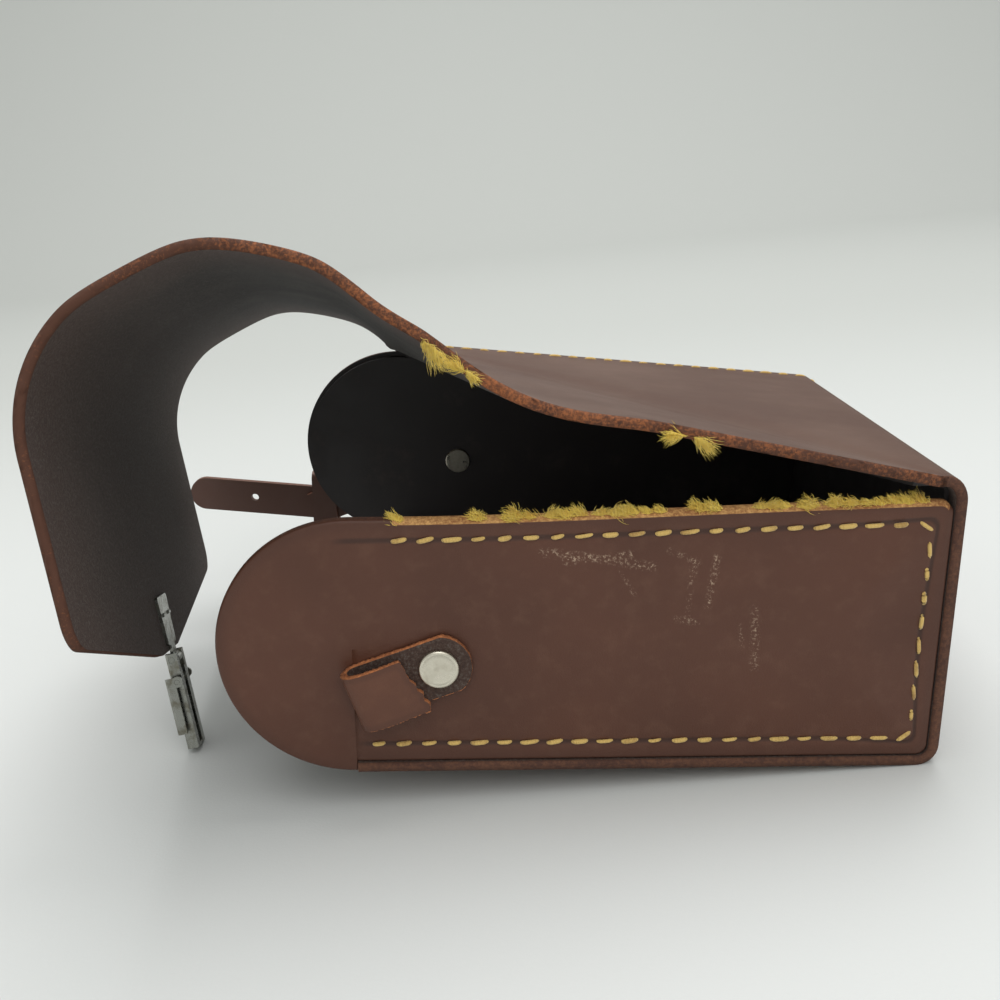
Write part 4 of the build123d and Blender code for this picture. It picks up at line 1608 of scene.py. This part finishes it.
    def torn_ends(self, strip: LeatherStrip) -> list[Piece]:
        """Makes the clumps on the near panel's rim and on the lid's near edge.

        Their places are millimetres along X in the drawing.

        Args:
            strip: the built strip.
        Returns:
            The pieces.
        """
        s = self.shape
        groups = (
            (42, 58, 59.5),
            np.linspace(65, 74, 4),
            np.linspace(79, 99, 8),
            (108, 111, 119.5, 122),
            np.linspace(126, 156, 11),
        )
        x = np.concatenate(groups) * MM
        level = s.risen(x, np.full(x.size, s.height - s.leather - self.rim_sunk))
        rim = np.stack([x, np.full(x.size, self.rim_inset), level], axis=-1)
        forward, up = s.turn @ np.array([1.0, 0, 0]), s.turn @ np.array([0, 0, 1.0])
        made = [self.wool("torn_seam_fluff", s.lay(rim), forward, up, "case", 23)]
        near = strip.top[:, 0]
        drawn = (near - s.shift) @ s.turn
        back = slice(strip.marks["case"], strip.marks["crown"])
        for name, places, body in (
            ("lid_edge_fluff", (50, 51, 57, 58), "lid_root"),
            ("back_edge_fluff", (103, 106), "back_gore"),
        ):
            rows = [back.start + int(np.argmin(np.abs(drawn[back, 0] - place * MM))) for place in places]
            middles = near[rows] - strip.normal[rows, 0] * s.leather * 0.8
            out = unit(near[rows[0]] - strip.top[rows[0], 4]) * 0.4 - strip.normal[rows[0], 0]
            along = near[rows[0]] - near[rows[-1] + 1]
            made.append(self.wool(name, middles, along, out, body, 31 + len(places), 1.5))
        return made


@dataclass
class RivetTab:
    """The torn strap end under the near rivet: an eye, a strip, a loop and a ragged layer that comes back.

    Its middle line runs flat from the eye to the loop, round half a circle, and back over the strip while
    it sinks by an eased step. Lengths are measured along it, and each column of the sheet has its own end.
    """

    shape: CaseShape
    looks: Finishes
    slope: float = 20.0
    thickness: float = 1.6 * MM
    half_width: float = 6.8 * MM
    eye: float = 7.4 * MM
    reach: float = 17.5 * MM
    bend: float = 2.5 * MM
    gap: float = 0.15 * MM
    home_end: float = -3.5 * MM
    torn_end: float = -4.8 * MM
    torn_slant: float = 1.35 * MM
    sink_run: float = 12.5 * MM
    layer_overlap: float = 0.1 * MM
    drift: float = 1.7 * MM
    eye_point: int = 40
    flat_points: int = 60
    turn_points: int = 24
    home_points: int = 39
    columns: int = 25
    rows: int = 130
    least_eye: float = 0.6 * MM
    rough: float = 0.1 * MM

    def build(self) -> Piece:
        """Makes the tab.

        Returns:
            The object, riding on its own body.
        """
        s, half = self.shape, self.thickness / 2
        swing = after(0, math.pi, self.turn_points)
        home = after(-self.reach, self.home_end, self.home_points)
        top = half + 2 * self.bend
        there = np.linspace(self.eye, -self.reach, self.flat_points)
        x = np.r_[there, -self.reach - self.bend * np.sin(swing), home]
        sink = smooth((home + self.reach) / self.sink_run) * (top - 3 * half - self.layer_overlap)
        z = np.r_[np.full(there.size, half), half + self.bend * (1 - np.cos(swing)), top - sink]
        length = np.r_[0, np.cumsum(np.hypot(np.diff(x), np.diff(z)))]
        dice = np.random.default_rng(5)
        v = np.linspace(-1, 1, self.columns)
        ragged = np.convolve(dice.normal(0, 0.5, self.columns + 2), np.ones(3) / 3, "valid") * MM
        back = slice(self.flat_points + self.turn_points, None)
        ends = np.interp(self.torn_end - self.torn_slant * (v + 1) + ragged, x[back], length[back])
        where = np.linspace(0, 1, self.rows)[:, None] * ends
        line_x, line_z = np.interp(where, length, x), np.interp(where, length, z)
        bent = unit(np.stack([np.gradient(x, length), np.gradient(z, length)], axis=-1))
        out_x, out_z = -np.interp(where, length, bent[:, 1]), np.interp(where, length, bent[:, 0])
        turn_start = length[self.flat_points + 2]
        returned = smooth((where - turn_start) / (length[-1] - turn_start))
        rounded = self.eye**2 - np.clip(line_x, 0, None) ** 2
        rounded = np.sqrt(np.clip(rounded, self.least_eye**2, None))
        on_eye = where < length[self.eye_point]
        wide = np.where(on_eye, np.minimum(rounded, self.half_width), self.half_width)
        line_y = v * wide - self.drift * returned
        tilt = math.radians(self.slope)
        cosine, sine = math.cos(tilt), math.sin(tilt)
        turn = np.array([[cosine, -sine, 0], [0, 0, -1], [sine, cosine, 0]])
        rivet = np.array([s.rivet_x, -self.gap, s.rivet_z])
        middle = np.stack([line_x, line_y, line_z], axis=-1) @ turn.T + rivet
        out = unit(np.stack([out_x, np.zeros_like(out_x), out_z], axis=-1)) @ turn.T
        edge = np.minimum(np.minimum(1 - v, 1 + v) * self.half_width, (ends - where))
        normal = out @ s.turn.T
        grain, flesh = s.lay(middle + out * half), s.lay(middle - out * half)
        materials = [self.looks.tab, self.looks.raw_tab, self.looks.flesh]
        piece = Maker.sheet("near_tab_leather", grain, flesh, materials, edge, normal, self.rough)
        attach(piece, "near_tab")
        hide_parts("near_tab")
        return piece


@dataclass
class RivetCaps:
    """The two big rivet caps: flat, a little dished, with a rolled rim; each a turned profile."""

    shape: CaseShape
    looks: Finishes
    radius: float = 4.5 * MM
    height: float = 1.3 * MM
    near_stand: float = 1.75 * MM
    far_stand: float = 2.6 * MM

    def build(self) -> list[Piece]:
        """Makes both caps.

        Returns:
            The objects, riding on the case.
        """
        s = self.shape
        made = []
        share = np.array([0.002, 0.3, 0.6, 0.74, 0.8, 0.86, 0.92, 0.97, 1.0, 1.0, 0.985, 0.95, 0.002])
        rise = np.array([0.83, 0.85, 0.84, 0.86, 0.93, 0.99, 0.98, 0.88, 0.68, 0.3, 0.1, 0.0, 0.0])
        far = s.far(np.array(s.rivet_x), np.array(s.rivet_z))
        near_place = (s.rivet_x, -self.near_stand, s.rivet_z)
        far_place = (far[0], far[1] + self.far_stand, far[2])
        spots = {
            "near_cap_shell": ("near_rivet_cap", near_place, 90),
            "far_cap_shell": ("far_rivet_cap", far_place, -90),
        }
        for name, (node, place, tilt) in spots.items():
            whole = s.matrix() @ Matrix.Translation(place) @ Matrix.Rotation(math.radians(tilt), 4, "X")
            piece = Maker.lathe(name, share * self.radius, rise * self.height, whole, self.looks.rivet)
            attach(piece, "case")
            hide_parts(node)
            made.append(piece)
        return made


@dataclass
class Studio:
    """Pale table, soft light and the camera at the photograph's view."""

    shape: CaseShape
    focal_px: float = 1193.0
    frame_px: float = 1000.0
    pitch: float = 17.54
    yaw: float = 1.04
    roll: float = -0.17
    eye: tuple[float, float, float] = (59.3 * MM, -244.0 * MM, 142.6 * MM)
    sensor: float = 36.0
    room_light: float = 0.62

    def camera(self) -> None:
        """Places the camera by its drawing place, pitch, yaw and roll."""
        pitch, yaw, roll = (math.radians(a) for a in (self.pitch, self.yaw, self.roll))
        level = math.cos(pitch)
        ahead = np.array([math.sin(yaw) * level, math.cos(yaw) * level, -math.sin(pitch)])
        right = np.array([math.cos(yaw), -math.sin(yaw), 0])
        up = np.cross(right, ahead)
        level_right = math.cos(roll) * right + math.sin(roll) * up
        level_up = -math.sin(roll) * right + math.cos(roll) * up
        whole = np.eye(4)
        whole[:3, 0], whole[:3, 1], whole[:3, 2] = level_right, level_up, -ahead
        whole[:3, 3] = self.eye
        data = bpy.data.cameras.new("photo_view")
        data.sensor_fit = "HORIZONTAL"
        data.sensor_width = self.sensor
        data.lens = self.sensor * self.focal_px / self.frame_px
        data.clip_start = 0.01
        made = bpy.data.objects.new("photo_view", data)
        bpy.context.scene.collection.objects.link(made)
        made.matrix_world = self.shape.matrix() @ Matrix(whole.tolist())
        bpy.context.scene.camera = made

    def table(self) -> None:
        """A broad pale sheet that lies flat and sweeps up behind, its section a line, a bend and a line;
        painted shade darkens it towards the back.
        """
        bend = np.linspace(0, math.pi / 2, 24)
        y = np.r_[-9.0, 0.0, 1.1 + 0.5 * np.sin(bend), 1.6, 1.6]
        z = np.r_[0.0, 0.0, 0.5 * (1 - np.cos(bend)), 1.5, 4.0]
        x = np.linspace(-4, 4, 5)
        grid = np.stack([np.repeat(x[:, None], y.size, 1), np.tile(y, (5, 1)), np.tile(z, (5, 1))], axis=-1)
        nodes = Nodes("pale_table_painted_shade")
        weave = nodes.noise(nodes.place(), 1300, 2)
        # Painted shade: the sheet's colour goes from the front's pale tone to a darker one at the back,
        # standing in for less light reaching the back.
        back = nodes.span(nodes.axis(nodes.place(), "Y"), -0.05, 0.6)
        tone = nodes.mix(back, srgb(222, 224, 223), srgb(198, 200, 197))
        nodes.set(Base_Color=tone, Roughness=0.9, Specular_IOR_Level=0.15)
        nodes.set(Normal=nodes.bump(weave, 0.1 * MM, 0.4))
        Maker.mesh("table", grid.reshape(-1, 3), Maker.quads(5, y.size), [nodes.material])

    def lamp(self, name: str, place: tuple, aim: tuple, size: float, power: float) -> None:
        """Adds a soft square light.

        Args:
            name: the lamp's name.
            place: where it stands.
            aim: the point it faces.
            size: its side.
            power: watts.
        """
        data = bpy.data.lights.new(name, "AREA")
        data.size, data.energy = size, power
        made = bpy.data.objects.new(name, data)
        bpy.context.scene.collection.objects.link(made)
        made.location = place
        made.rotation_euler = (Vector(aim) - Vector(place)).to_track_quat("-Z", "Y").to_euler()

    def build(self) -> None:
        """Makes the camera, the table, the lamps and the world."""
        self.camera()
        self.table()
        self.lamp("window", (0.1, 0.5, 1.5), (0, 0.05, 0.03), 1.3, 17)
        self.lamp("room", (0.2, -1.3, 1.6), (0, 0, 0.03), 1.6, 12)
        world = bpy.data.worlds.new("room_light")
        world.use_nodes = True
        sky = world.node_tree.nodes["Background"]
        sky.inputs["Color"].default_value = srgb(238, 240, 236)
        sky.inputs["Strength"].default_value = self.room_light
        bpy.context.scene.world = world
        bpy.context.scene.view_settings.view_transform = "Standard"


def main() -> None:
    """Builds every piece of the case in order and reports it."""
    logging.basicConfig(level=logging.INFO, format="%(message)s")
    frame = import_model()
    joints = {joint["name"]: joint for joint in frame["joints"]}
    shape = CaseShape(joints=joints)
    looks = Finishes(panel_scratches(shape))
    Studio(shape).build()
    strip = LeatherStrip(shape, looks)
    made = strip.build()
    panel = SidePanel(shape, looks)
    made += [panel.build("near_panel_skin", far=False), panel.build("far_panel_skin", far=True)]
    stitching = Stitching(shape, looks, panel)
    made += [stitching.build("near_stitches", far=False), stitching.build("far_stitches", far=True)]
    made.append(stitching.outer("near_outer_stitches", strip, far=False))
    made.append(stitching.outer("far_outer_stitches", strip, far=True))
    made += stitching.torn_ends(strip)
    made.append(RivetTab(shape, looks).build())
    made += RivetCaps(shape, looks).build()
    for piece in made:
        LOG.info("made %s", piece.name)
    dress_nodes(frame["nodes"], looks)


def panel_scratches(shape: CaseShape) -> tuple[tuple, ...]:
    """The long scratches on the near panel, laid in the row frame.

    Args:
        shape: the case's sizes.
    Returns:
        Start, end, width and strength of each.
    """
    drawn = (
        ((73, 53.6), (97, 50), 1.5, 0.85),
        ((78, 51.5), (92, 53), 1.2, 0.7),
        ((90, 49), (93, 44), 1.0, 0.5),
        ((101, 53.5), (107, 51), 1.2, 0.6),
        ((111, 52), (109.5, 41), 1.4, 0.85),
        ((106, 50), (105, 38), 1.2, 0.55),
        ((103, 38), (107, 37), 1.3, 0.6),
        ((120, 40), (120.6, 26), 1.5, 0.65),
        ((117, 36), (117.6, 31), 1.0, 0.5),
    )
    made = []
    for start, end, width, strength in drawn:
        places = shape.lay(np.array([[start[0], 0, start[1]], [end[0], 0, end[1]]]) * MM)
        places[:, 1] = 0
        made.append((tuple(places[0].tolist()), tuple(places[1].tolist()), width * MM, strength))
    return tuple(made)


def dress_nodes(nodes: dict, looks: Finishes) -> None:
    """Gives each CAD node that stays its finish: linings, rivets, metal fittings and the far strap.

    Args:
        nodes: the frame's objects by name.
        looks: the finishes.
    """
    starts = {
        ("strip_lining", "near_side_lining", "far_side_lining"): looks.lining,
        ("near_rivet", "far_rivet"): looks.rivet,
        ("hasp", "lever", "catch"): looks.hasp,
        ("far_strap", "strap_keeper"): looks.strap,
    }
    for name, node in nodes.items():
        for start, finish in starts.items():
            if name.startswith(start):
                node.data.materials.clear()
                node.data.materials.append(finish)
                LOG.info("dressed %s", name)


if __name__ == "__main__":
    main()
